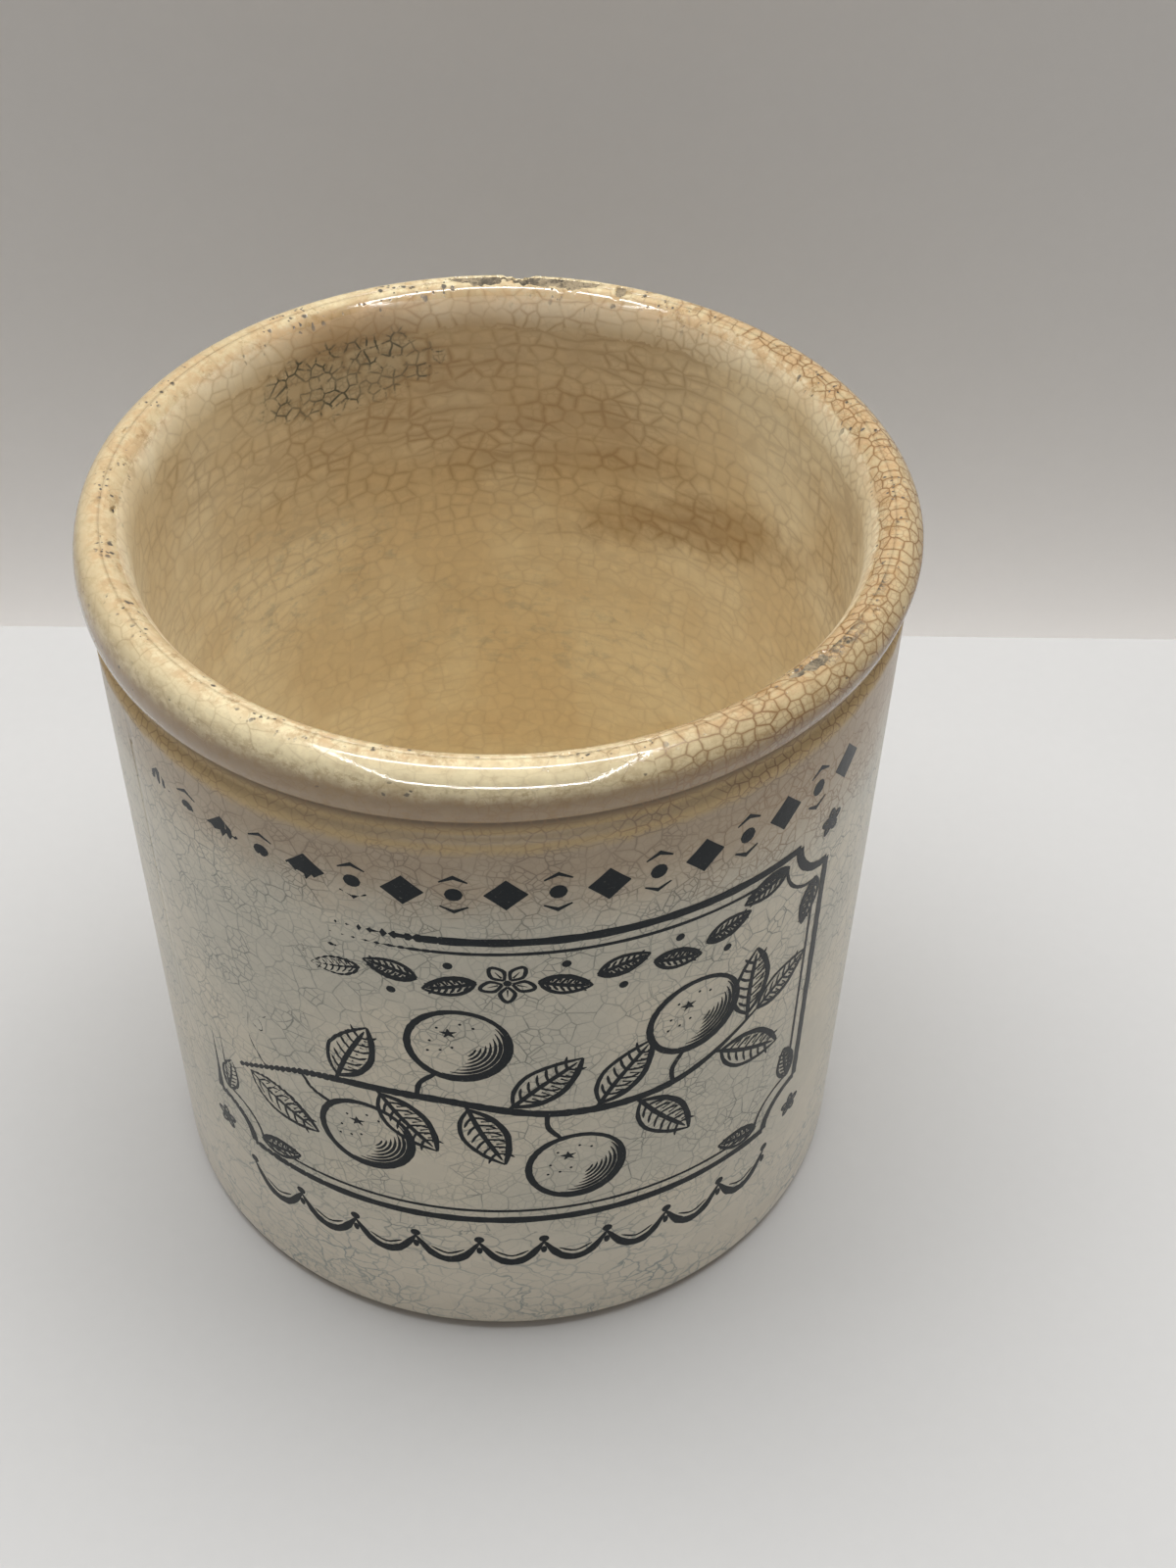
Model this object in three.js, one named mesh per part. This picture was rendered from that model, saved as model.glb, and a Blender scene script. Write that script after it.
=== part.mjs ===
// A straight-sided earthenware preserve pot of the two-pound size, open at the top. One fired clay body has
// a rolled rim, a string groove under it, a slightly tapering wall and a bare foot ring round a shallow
// recess. Three coats of glaze are bonded to it: one outside, one inside and one in the recess.
// Millimetres, +Z up, with the origin on the table at the centre of the foot ring.

import * as THREE from 'three';

// Overall form, measured over the glaze
const HEIGHT = 112; // table to the crest of the rim
const TOP_DIAMETER = 105.6; // wall just under the string groove
const FOOT_DIAMETER = 100.2; // wall just above the rounded foot
const GLAZE = 0.3; // thickness of every coat
const GLAZE_LINE = 1.3; // height on the foot rounding where the outer coat stops

// Thickness of the clay
const WALL_AT_TOP = 5.6;
const WALL_AT_FOOT = 6.4;
const FLOOR = 7; // table to the clay inside the pot
const CORNER_RADIUS = 14; // between the floor and the inner wall

// Foot
const FOOT_ROUNDING = 2.6; // outer edge of the foot
const FOOT_RING = 4.4; // width of the flat that meets the table
const RECESS_DEPTH = 1.9; // rise of the underside above the table
const RECESS_ROUNDING = 1.5;

// String groove under the rim
const GROOVE_HEIGHT = 4.6; // top of the wall to the underside of the roll
const GROOVE_DEPTH = 0.8; // behind the wall
const SHOULDER_HEIGHT = 1.7; // soft step from the wall into the groove
const GROOVE_FILLET = 0.5; // under the roll

// Rolled rim
const RIM_HEIGHT = 6.8; // underside of the roll to the crest
const RIM_OVERHANG = 1.2; // beyond the wall
const RIM_DRAFT = 0.5; // how far the roll's lower edge stands behind its widest part
const RIM_EDGE = 0.6; // rounding of the roll's lower edge
const CREST_WIDTH = 2.9; // widest part of the roll to the crest
const CREST_DROP = 3.8; // height of the rounding outside the crest
const LIP_DROP = 6; // height of the rounding inside the crest

// Steps round the pot and along each curve of its section
const ROUND_STEPS = 60;
const ROLL_STEPS = 5;
const BEND_STEPS = 3;

// Radii and heights of the clay that the sizes above fix
const topRadius = TOP_DIAMETER / 2 - GLAZE;
const footRadius = FOOT_DIAMETER / 2 - GLAZE;
const rimRadius = topRadius + RIM_OVERHANG;
const rimEdgeRadius = rimRadius - RIM_DRAFT;
const crestRadius = rimRadius - CREST_WIDTH;
const grooveRadius = topRadius - GROOVE_DEPTH;
const mouthRadius = topRadius - WALL_AT_TOP;
const floorRadius = footRadius - WALL_AT_FOOT;
const ringOuterRadius = footRadius - FOOT_ROUNDING;
const ringInnerRadius = ringOuterRadius - FOOT_RING;
const crestHeight = HEIGHT - GLAZE;
const rollHeight = crestHeight - RIM_HEIGHT;
const shoulderStart = rollHeight - GROOVE_HEIGHT;

const point = (radius, height) => new THREE.Vector2(radius, height);

// Points of an arc of an ellipse about (radius, height), with the angles in degrees.
function arc(radius, height, across, up, from, to, steps) {
  const clockwise = to < from;
  const curve = new THREE.EllipseCurve(
    radius,
    height,
    across,
    up,
    THREE.MathUtils.degToRad(from),
    THREE.MathUtils.degToRad(to),
    clockwise,
  );
  return curve.getPoints(steps);
}

// Joins stretches of a section into one run, keeping one copy of each point that two stretches share.
function join(...stretches) {
  const run = [];
  for (const next of stretches.flat()) {
    const last = run.at(-1);
    if (!last || last.distanceTo(next) > 1e-6) run.push(next);
  }
  return run;
}

// Adds a point to a rising run where it passes a height, and returns the run and that point's place in it.
function markHeight(run, height) {
  const above = run.findIndex((p) => p.y > height);
  const low = run[above - 1];
  const high = run[above];
  const mark = low.clone().lerp(high, (height - low.y) / (high.y - low.y));
  const marked = join(run.slice(0, above), mark, run.slice(above));
  return { marked, place: marked.findIndex((p) => p.distanceTo(mark) < 1e-5) };
}

// The run moved outwards from the clay by a coat's thickness, square to each stretch.
function coated(run, thickness) {
  const normals = run.slice(1).map((p, i) => {
    const along = p.clone().sub(run[i]).normalize();
    return point(along.y, -along.x);
  });
  return run.map((p, i) => {
    const before = normals[Math.max(i - 1, 0)];
    const after = normals[Math.min(i, normals.length - 1)];
    const miter = before.clone().add(after).multiplyScalar(thickness / (1 + before.dot(after)));
    return p.clone().add(miter);
  });
}

// The underside, from the axis to the inner edge of the foot ring.
function undersideSection() {
  const rounding = Math.min(RECESS_ROUNDING, RECESS_DEPTH);
  const bend = arc(
    ringInnerRadius - rounding,
    RECESS_DEPTH - rounding,
    rounding,
    rounding,
    90,
    0,
    BEND_STEPS,
  );
  return join(point(0, RECESS_DEPTH), bend, point(ringInnerRadius, 0));
}

// The outside, from the foot ring up the wall, through the groove and over the roll to the crest.
function outsideSection() {
  const foot = arc(ringOuterRadius, FOOT_ROUNDING, FOOT_ROUNDING, FOOT_ROUNDING, -90, 0, BEND_STEPS + 1);
  const shoulder = new THREE.CubicBezierCurve(
    point(topRadius, shoulderStart),
    point(topRadius, shoulderStart + SHOULDER_HEIGHT / 2),
    point(grooveRadius, shoulderStart + SHOULDER_HEIGHT / 2),
    point(grooveRadius, shoulderStart + SHOULDER_HEIGHT),
  ).getPoints(ROLL_STEPS);
  const fillet = arc(
    grooveRadius + GROOVE_FILLET,
    rollHeight - GROOVE_FILLET,
    GROOVE_FILLET,
    GROOVE_FILLET,
    180,
    90,
    BEND_STEPS - 1,
  );
  const edge = arc(
    rimEdgeRadius - RIM_EDGE,
    rollHeight + RIM_EDGE,
    RIM_EDGE,
    RIM_EDGE,
    -90,
    0,
    BEND_STEPS,
  );
  const widest = crestHeight - CREST_DROP;
  const side = new THREE.QuadraticBezierCurve(
    point(rimEdgeRadius, rollHeight + RIM_EDGE),
    point(rimRadius, (rollHeight + RIM_EDGE + widest) / 2),
    point(rimRadius, widest),
  ).getPoints(BEND_STEPS);
  const crest = arc(crestRadius, widest, CREST_WIDTH, CREST_DROP, 0, 90, ROLL_STEPS);
  return join(foot, shoulder, fillet, edge, side, crest);
}

// The inside, from the crest down the wall and round the corner to the axis.
function insideSection() {
  const lip = arc(
    crestRadius,
    crestHeight - LIP_DROP,
    crestRadius - mouthRadius,
    LIP_DROP,
    90,
    180,
    ROLL_STEPS,
  );
  const corner = arc(
    floorRadius - CORNER_RADIUS,
    FLOOR + CORNER_RADIUS,
    CORNER_RADIUS,
    CORNER_RADIUS,
    0,
    -90,
    ROLL_STEPS,
  );
  return join(lip, corner, point(0, FLOOR));
}

// Turns a section about the pot's axis. A section that leaves the axis is closed on itself first.
function turned(name, section, material) {
  const touchesAxis = section[0].x < 1e-6;
  const closed = touchesAxis ? section : [...section, section[0]];
  const geometry = new THREE.LatheGeometry(closed, ROUND_STEPS);
  geometry.rotateX(Math.PI / 2);
  const mesh = new THREE.Mesh(geometry, material);
  mesh.name = name;
  return mesh;
}

// The band of glaze between two places in the section.
function coat(name, clay, skin, from, to, material) {
  const seat = clay.slice(from, to + 1).reverse();
  const face = skin.slice(from, to + 1);
  const endsOnAxis = face.at(-1).x < 1e-6;
  return turned(name, endsOnAxis ? join(seat, face) : join(face, seat), material);
}

const clayMaterial = new THREE.MeshStandardMaterial({ color: 0xcdb894, roughness: 0.85, metalness: 0 });
const outerMaterial = new THREE.MeshStandardMaterial({ color: 0xe0d8c3, roughness: 0.16, metalness: 0 });
const innerMaterial = new THREE.MeshStandardMaterial({ color: 0xd0b98a, roughness: 0.22, metalness: 0 });

const underside = undersideSection();
const { marked: outside, place: glazeStart } = markHeight(outsideSection(), GLAZE_LINE);
const inside = insideSection();
const section = join(underside, outside, inside);
const skin = coated(section, GLAZE);
const ringStart = underside.length - 1;
const crest = underside.length + outside.length - 1;

const pot = new THREE.Group();
pot.add(turned('clay_body', section, clayMaterial));
pot.add(coat('outer_glaze', section, skin, underside.length + glazeStart, crest, outerMaterial));
pot.add(coat('inner_glaze', section, skin, crest, section.length - 1, innerMaterial));
pot.add(coat('base_glaze', section, skin, 0, ringStart - 1, outerMaterial));

export default pot;
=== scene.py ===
"""A printed and glazed earthenware preserve pot on a pale table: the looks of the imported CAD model."""

import math
import random

import bpy
from mathutils import Matrix, Vector


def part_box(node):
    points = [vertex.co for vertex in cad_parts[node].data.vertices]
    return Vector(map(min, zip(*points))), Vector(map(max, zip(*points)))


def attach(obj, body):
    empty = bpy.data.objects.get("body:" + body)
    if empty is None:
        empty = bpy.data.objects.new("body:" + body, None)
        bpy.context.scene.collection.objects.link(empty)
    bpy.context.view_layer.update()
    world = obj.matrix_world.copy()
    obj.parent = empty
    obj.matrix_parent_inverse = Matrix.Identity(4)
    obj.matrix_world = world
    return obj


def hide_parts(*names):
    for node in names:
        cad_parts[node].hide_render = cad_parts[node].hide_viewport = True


bl_info = {
    "name": "Marmalade Pot",
    "version": (1, 0, 0),
    "blender": (4, 5, 0),
    "location": "3D View > Sidebar > Marmalade Pot",
    "description": "Turns, glazes, prints and wears an earthenware preserve pot, and sets its stage",
    "category": "Object",
}

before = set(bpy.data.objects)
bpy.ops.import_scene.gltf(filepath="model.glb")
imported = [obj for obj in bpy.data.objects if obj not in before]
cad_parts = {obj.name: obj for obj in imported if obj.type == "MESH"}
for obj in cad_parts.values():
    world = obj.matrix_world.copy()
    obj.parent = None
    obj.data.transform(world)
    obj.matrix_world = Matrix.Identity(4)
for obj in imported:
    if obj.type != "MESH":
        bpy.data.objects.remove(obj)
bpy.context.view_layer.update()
CLAY_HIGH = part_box("clay_body")[1]
LINING_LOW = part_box("inner_glaze")[0]
RECESS_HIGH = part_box("base_glaze")[1]

MM = 0.001
ROOT = "root"

# Where the string groove is out of level, in millimetres: in from the rim as far as this, and from the roll's
# underside between the start and the end, with its whole tilt from the second height to the third
TILT_INSIDE, TILT_STARTS, TILT_FULL, TILT_FADES, TILT_ENDS = 5.3, -20, -6, 0.6, 6.4

# Millimetres in from the rim to where the unrolled surface keeps its true length, outside and inside
UNROLL_OUTSIDE, UNROLL_INSIDE = 1.5, 6.5

# Millimetres that dirt and pits sink in the bump of the glaze
PIT_DEPTH = 0.05

# The photograph's camera, with the pot's front towards -Y
CAMERA_PLACE = (0.0, -0.242946, 0.289729)
CAMERA_PITCH, CAMERA_ROLL, CAMERA_YAW = 0.756, 0.017, 0.049
CAMERA_LENS, CAMERA_SENSOR = 54.0, 36.0


def length(name, description, millimetres):
    """A size that a user may change, held in metres."""
    return bpy.props.FloatProperty(
        name=name, description=description, default=millimetres * MM, min=0, subtype="DISTANCE", unit="LENGTH"
    )


def colour(name, description, *rgb):
    return bpy.props.FloatVectorProperty(
        name=name, description=description, default=rgb, size=3, min=0, max=1, subtype="COLOR"
    )


class PotSizes(bpy.types.PropertyGroup):
    """The pot's section, measured on the clay, and the coat over it."""

    rim_radius: length("Rim Radius", "Widest part of the roll", CLAY_HIGH.x / MM)
    crest_height: length("Crest Height", "Table to the crest of the clay", CLAY_HIGH.z / MM)
    glaze: length("Glaze", "Thickness of every coat", 0.3)
    glaze_line: length("Glaze Line", "Height on the foot rounding where the outer coat stops", 1.3)
    floor: length("Floor", "Table to the clay inside", LINING_LOW.z / MM)
    recess_depth: length("Recess Depth", "Rise of the underside", RECESS_HIGH.z / MM)
    top_radius: length("Top Radius", "Wall just under the string groove", 52.5)
    foot_radius: length("Foot Radius", "Wall just above the rounded foot", 49.8)
    wall_at_top: length("Wall At Top", "Clay between the groove and the mouth", 5.6)
    wall_at_foot: length("Wall At Foot", "Clay beside the floor", 6.4)
    corner_radius: length("Corner Radius", "Between the floor and the inner wall", 14)
    foot_rounding: length("Foot Rounding", "Outer edge of the foot", 2.6)
    foot_ring: length("Foot Ring", "Width of the flat that meets the table", 4.4)
    recess_rounding: length("Recess Rounding", "Inner edge of the foot ring", 1.5)
    groove_height: length("Groove Height", "Top of the wall to the underside of the roll", 4.6)
    groove_depth: length("Groove Depth", "Behind the wall", 0.8)
    shoulder_height: length("Shoulder Height", "Soft step from the wall into the groove", 1.7)
    groove_fillet: length("Groove Fillet", "Under the roll", 0.5)
    rim_height: length("Rim Height", "Underside of the roll to the crest", 6.8)
    rim_draft: length("Rim Draft", "Lower edge of the roll behind its widest part", 0.5)
    rim_edge: length("Rim Edge", "Rounding of the roll's lower edge", 0.6)
    crest_width: length("Crest Width", "Widest part of the roll to the crest", 2.9)
    crest_drop: length("Crest Drop", "Height of the rounding outside the crest", 3.8)
    lip_drop: length("Lip Drop", "Height of the rounding inside the crest", 6)
    groove_tilt: length("Groove Tilt", "How far the groove runs out of level on either side", 1.7)
    steps_round: bpy.props.IntProperty(
        name="Steps Round", description="Faces round the pot", default=320, min=48, max=720
    )
    steps_bend: bpy.props.IntProperty(
        name="Steps Bend", description="Faces along each curve of the section", default=12, min=3, max=32
    )


class PotColours(bpy.types.PropertyGroup):
    """Colours of the clay, the glazes, their stains, painted shade and light, and the print."""

    clay: colour("Clay", "Clean fired clay of the foot ring", 0.58, 0.46, 0.30)
    broken_clay: colour("Broken Clay", "Dirty clay in the chips", 0.12, 0.10, 0.072)
    soaked_clay: colour("Soaked Clay", "Paler clay in the chips", 0.34, 0.275, 0.18)
    wall: colour("Wall", "Glaze on the outer wall", 0.64, 0.575, 0.45)
    wall_shade: colour("Wall Shade", "Greyer parts of the outer wall", 0.56, 0.52, 0.42)
    foot: colour("Foot", "Paler glaze towards the foot", 0.70, 0.63, 0.51)
    rim: colour("Rim", "Glaze on the roll", 0.84, 0.72, 0.46)
    # Roll Shade: a brown stain on the lower half of the roll, with painted shade where it faces down away from the
    # overhead lamp
    roll_stain_and_shade: colour("Roll Shade", "Stained lower half of the roll", 0.345, 0.235, 0.125)
    worn_tan: colour("Worn Tan", "Tan mottling on the crest", 0.57, 0.375, 0.195)
    shoulder: colour("Shoulder", "Golden glaze on the step under the groove", 0.54, 0.38, 0.17)
    # Groove: brown glaze pooled in the string groove, darkened with painted shade under the overhanging roll
    groove: colour("Groove", "Glaze pooled in the string groove", 0.16, 0.10, 0.045)
    toned: colour("Toned", "Browner glaze on the wall under the groove", 0.39, 0.28, 0.17)
    lining: colour("Lining", "Stained glaze inside", 0.73, 0.595, 0.375)
    # Lining Pale is also used for painted bounce light on the lower inside wall
    lining_pale: colour("Lining Pale", "Cleaner parts of the glaze inside", 0.85, 0.75, 0.53)
    # Lining Dull is painted shade on the left of the inside wall
    lining_shade: colour("Lining Dull", "Greyer parts of the glaze inside", 0.53, 0.46, 0.33)
    stain: colour("Stain", "Brown stain in the glaze", 0.33, 0.20, 0.075)
    crack_brown: colour("Crack Brown", "Old stained crazing", 0.23, 0.12, 0.05)
    crack_grey: colour("Crack Grey", "Crazing of the printed wall", 0.17, 0.17, 0.135)
    crack_blue: colour("Crack Blue", "Crazing near the foot", 0.24, 0.27, 0.25)
    crack_green: colour("Crack Green", "Dark mildewed crazing inside", 0.035, 0.042, 0.03)
    ink: colour("Ink", "Blue-black transfer ink", 0.010, 0.014, 0.017)


class StageSettings(bpy.types.PropertyGroup):
    """The table, the wall behind it and the lamps."""

    seam: length("Seam", "Distance of the wall behind the pot's axis", 107)
    seam_turn: bpy.props.FloatProperty(
        name="Seam Turn", description="Turn of the wall about the vertical", default=math.radians(-2.3), subtype="ANGLE"
    )
    table: colour("Table", "Pale table", 0.62, 0.617, 0.61)
    wall: colour("Wall", "Wall behind the table", 0.68, 0.655, 0.63)
    # Wall Glow is painted light: the wall glows for the eye and in the glaze, most near the table
    wall_glow: bpy.props.FloatProperty(
        name="Wall Glow", description="How much paler the wall looks beside the table", default=0.40, min=0, max=1
    )
    overhead: bpy.props.FloatProperty(
        name="Overhead", description="Power of the broad lamp overhead", default=12.4, min=0, unit="POWER"
    )
    strips: bpy.props.FloatProperty(
        name="Strips", description="Power of each square metre of the lamps that show in the glaze", default=85.0, min=0
    )
    ambient: bpy.props.FloatProperty(
        name="Ambient", description="Light from the room", default=0.26, min=0, max=2
    )


# Modelling

def select_only(piece):
    bpy.ops.object.select_all(action="DESELECT")
    piece.select_set(True)
    bpy.context.view_layer.objects.active = piece


def name_new(name):
    """Names the object just made, and its mesh or curve."""
    made = bpy.context.active_object
    made.name = name
    made.data.name = name
    return made


def arc(radius, height, across, up, start, end, steps):
    """Points of an arc of an ellipse about (radius, height), with the angles in degrees."""
    turns = [math.radians(start + (end - start) * i / steps) for i in range(steps + 1)]
    return [Vector((radius + across * math.cos(a), height + up * math.sin(a))) for a in turns]


def bend(points, steps):
    """Points of a Bezier curve through its first and last point, of as high a degree as there are points."""
    run = []
    for i in range(steps + 1):
        left = list(points)
        while len(left) > 1:
            left = [a.lerp(b, i / steps) for a, b in zip(left, left[1:])]
        run.append(left[0])
    return run


def join(*stretches):
    """Joins stretches of a section into one run, keeping one copy of each shared point."""
    run = []
    for stretch in stretches:
        for point in stretch:
            if not run or (run[-1] - point).length > 1e-9:
                run.append(point)
    return run


def mark_height(run, height):
    """Adds a point to a rising run where it passes a height, and returns the run and that point's place in it."""
    above = next(i for i, p in enumerate(run) if p.y > height)
    low, high = run[above - 1], run[above]
    mark = low.lerp(high, (height - low.y) / (high.y - low.y))
    return [*run[:above], mark, *run[above:]], above


def coated(run, thickness):
    """The run moved outwards from the clay by a coat's thickness, square to each stretch."""
    normals = []
    for a, b in zip(run, run[1:]):
        along = (b - a).normalized()
        normals.append(Vector((along.y, -along.x)))
    skin = []
    for i, point in enumerate(run):
        before, after = normals[max(i - 1, 0)], normals[min(i, len(normals) - 1)]
        skin.append(point + (before + after) * (thickness / (1 + before.dot(after))))
    return skin


class PotSection:
    """The half section of the clay, from the middle of the underside round to the middle of the floor."""

    def __init__(self, s):
        steps, point = s.steps_bend, lambda radius, height: Vector((radius, height))
        groove_radius = s.top_radius - s.groove_depth
        edge_radius = s.rim_radius - s.rim_draft
        crest_radius = s.rim_radius - s.crest_width
        mouth_radius = s.top_radius - s.wall_at_top
        floor_radius = s.foot_radius - s.wall_at_foot
        ring_outer = s.foot_radius - s.foot_rounding
        ring_inner = ring_outer - s.foot_ring
        roll = s.crest_height - s.rim_height
        shoulder = roll - s.groove_height
        widest = s.crest_height - s.crest_drop
        rounding = s.recess_rounding

        underside = join(
            [point(0, s.recess_depth)],
            arc(ring_inner - rounding, s.recess_depth - rounding, rounding, rounding, 90, 0, steps // 2),
            [point(ring_inner, 0)],
        )
        outside = join(
            arc(ring_outer, s.foot_rounding, s.foot_rounding, s.foot_rounding, -90, 0, steps),
            bend(
                [
                    point(s.top_radius, shoulder),
                    point(s.top_radius, shoulder + s.shoulder_height / 2),
                    point(groove_radius, shoulder + s.shoulder_height / 2),
                    point(groove_radius, shoulder + s.shoulder_height),
                ],
                steps,
            ),
            arc(groove_radius + s.groove_fillet, roll - s.groove_fillet, s.groove_fillet, s.groove_fillet, 180, 90, 5),
            arc(edge_radius - s.rim_edge, roll + s.rim_edge, s.rim_edge, s.rim_edge, -90, 0, 6),
            bend(
                [
                    point(edge_radius, roll + s.rim_edge),
                    point(s.rim_radius, (roll + s.rim_edge + widest) / 2),
                    point(s.rim_radius, widest),
                ],
                steps // 2,
            ),
            arc(crest_radius, widest, s.crest_width, s.crest_drop, 0, 90, steps),
        )
        corner = s.corner_radius
        inside = join(
            arc(crest_radius, s.crest_height - s.lip_drop, crest_radius - mouth_radius, s.lip_drop, 90, 180, steps),
            arc(floor_radius - corner, s.floor + corner, corner, corner, 0, -90, steps),
            [point(0, s.floor)],
        )
        outside, start = mark_height(outside, s.glaze_line)
        self.clay = join(underside, outside, inside)
        self.skin = coated(self.clay, s.glaze)
        self.ring_start = len(underside) - 1
        self.glaze_start = len(underside) + start
        self.crest = len(underside) + len(outside) - 1

    def coat(self, start, end):
        """The section of the glaze between two places on the clay's section."""
        seat, face = self.clay[start : end + 1][::-1], self.skin[start : end + 1]
        if face[-1].x < 1e-9:
            return join(seat, face)
        return join(face, seat, face[:1])


def unlevel(piece, sizes):
    """Tilts the string groove and what borders it out of level with the crest, which stays as it is."""
    level = sizes.crest_height - sizes.rim_height
    for vertex in piece.data.vertices:
        x, y, z = vertex.co
        radius = math.hypot(x, y)
        if radius > sizes.rim_radius - TILT_INSIDE * MM:
            rise = min(max((z - level - TILT_STARTS * MM) / ((TILT_FULL - TILT_STARTS) * MM), 0), 1)
            fall = min(max((level + TILT_ENDS * MM - z) / ((TILT_ENDS - TILT_FADES) * MM), 0), 1)
            share = rise * rise * (3 - 2 * rise) * fall * fall * (3 - 2 * fall)
            vertex.co.z = z + sizes.groove_tilt * x / radius * share


def turned(name, section, steps):
    """Extrudes a vertex along a section, then spins it about the pot's axis into a closed solid."""
    bpy.ops.object.select_all(action="DESELECT")
    bpy.ops.mesh.primitive_plane_add(size=MM, location=(section[0].x, 0, section[0].y))
    piece = name_new(name)
    bpy.ops.object.transform_apply(location=True, rotation=True, scale=True)
    bpy.ops.object.mode_set(mode="EDIT")
    bpy.ops.mesh.select_mode(type="VERT")
    bpy.ops.mesh.merge(type="CENTER")
    for a, b in zip(section, section[1:]):
        bpy.ops.mesh.extrude_region_move(TRANSFORM_OT_translate={"value": (b.x - a.x, 0, b.y - a.y)})
    bpy.ops.mesh.select_all(action="SELECT")
    bpy.ops.mesh.spin(steps=steps, angle=2 * math.pi, center=(0, 0, 0), axis=(0, 0, 1))
    bpy.ops.mesh.select_all(action="SELECT")
    bpy.ops.mesh.remove_doubles(threshold=1e-6)
    bpy.ops.mesh.normals_make_consistent(inside=False)
    bpy.ops.object.mode_set(mode="OBJECT")
    bpy.ops.object.shade_smooth()
    return piece


# Shader nodes

class Nodes:
    """Adds nodes to a tree from left to right. An input is a value or another node's output."""

    def __init__(self, tree):
        self.tree = tree
        self.rows = {}

    def add(self, kind, inputs=None, **settings):
        node = self.tree.nodes.new(kind)
        for key, value in settings.items():
            setattr(node, key, value)
        column = 0
        for key, value in (inputs or {}).items():
            if isinstance(value, bpy.types.NodeSocket):
                self.tree.links.new(value, node.inputs[key])
                column = max(column, int(value.node.location.x // 200) + 1)
            else:
                node.inputs[key].default_value = value
        row = self.rows.get(column, 0)
        self.rows[column] = row + 1
        node.location = (column * 200, -row * 170)
        return node

    def group(self, tree, inputs):
        return self.add("ShaderNodeGroup", inputs, node_tree=tree).outputs

    def math(self, operation, *values):
        return self.add("ShaderNodeMath", dict(enumerate(values)), operation=operation).outputs[0]

    def plus(self, a, b):
        return self.math("ADD", a, b)

    def less(self, a, b):
        return self.math("SUBTRACT", a, b)

    def rest(self, share):
        """1 less the share."""
        return self.math("SUBTRACT", 1.0, share)

    def product(self, *values):
        made = values[0]
        for value in values[1:]:
            made = self.math("MULTIPLY", made, value)
        return made

    def most(self, *values):
        made = values[0]
        for value in values[1:]:
            made = self.math("MAXIMUM", made, value)
        return made

    def vector(self, operation, *values):
        node = self.add("ShaderNodeVectorMath", dict(enumerate(values)), operation=operation)
        return node.outputs["Value" if operation == "LENGTH" else "Vector"]

    def scaled(self, vector, factor):
        return self.add("ShaderNodeVectorMath", {0: vector, "Scale": factor}, operation="SCALE").outputs["Vector"]

    def combine(self, x, y, z=0.0):
        return self.add("ShaderNodeCombineXYZ", {0: x, 1: y, 2: z}).outputs[0]

    def separate(self, vector):
        return self.add("ShaderNodeSeparateXYZ", {0: vector}).outputs

    def fade(self, value, start, end):
        """0 at start to 1 at end, with soft ends."""
        inputs = {"Value": value, "From Min": start, "From Max": end}
        return self.add("ShaderNodeMapRange", inputs, interpolation_type="SMOOTHSTEP").outputs["Result"]

    def band(self, value, low, high, soft):
        """1 between low and high, falling to 0 over the soft width on both sides."""
        rise = self.fade(value, low - soft / 2, low + soft / 2)
        fall = self.fade(value, high + soft / 2, high - soft / 2)
        return self.product(rise, fall)

    def mix(self, factor, a, b, blend="MIX"):
        """A colour between a and b, each of them three numbers or another node's output."""
        a, b = (side if isinstance(side, bpy.types.NodeSocket) else (*side, 1.0) for side in (a, b))
        return self.add("ShaderNodeMix", {0: factor, 6: a, 7: b}, data_type="RGBA", blend_type=blend).outputs[2]

    def shaded(self, tint, shade):
        """The colour, darker or lighter by a value."""
        return self.mix(1.0, tint, self.combine(shade, shade, shade), "MULTIPLY")

    def blend(self, factor, a, b):
        """A value between a and b."""
        return self.add("ShaderNodeMix", {0: factor, 2: a, 3: b}, data_type="FLOAT").outputs[0]

    def choose(self, factor, a, b):
        """A vector between a and b."""
        return self.add("ShaderNodeMix", {0: factor, 4: a, 5: b}, data_type="VECTOR").outputs[1]

    def over(self, base, *layers):
        """Values laid over each other: each layer is a hard mask and its value."""
        made = base
        for mask, value in layers:
            made = self.blend(mask, made, value)
        return made

    def noise(self, vector, size, detail=3.0, roughness=0.5, output="Fac"):
        inputs = {"Vector": vector, "Scale": 1 / size, "Detail": detail, "Roughness": roughness}
        return self.add("ShaderNodeTexNoise", inputs).outputs[output]

    def cells(self, inputs, feature):
        """A flat pattern of cells."""
        return self.add("ShaderNodeTexVoronoi", inputs, voronoi_dimensions="2D", feature=feature).outputs

    def shader(self, **inputs):
        """The surface's shader, its inputs given by their names in lower case."""
        return self.add("ShaderNodeBsdfPrincipled", titled(inputs)).outputs[0]

    def surface(self, shader):
        self.add("ShaderNodeOutputMaterial", {"Surface": shader})

    def bump(self, height):
        """The surface's normal over a height in millimetres."""
        return self.add("ShaderNodeBump", {"Strength": 1.0, "Distance": MM, "Height": height}).outputs[0]


def titled(inputs):
    """Inputs under the names of their sockets, such as Base Color for base_color."""
    return {SOCKET_NAMES.get(key, key.replace("_", " ").title()): value for key, value in inputs.items()}


SOCKET_NAMES = {"ior": "IOR", "specular_ior_level": "Specular IOR Level"}
VECTOR_SOCKETS = {"Spread", "Centre", "Outside", "Inside", "Lip", "Place"}


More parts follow.
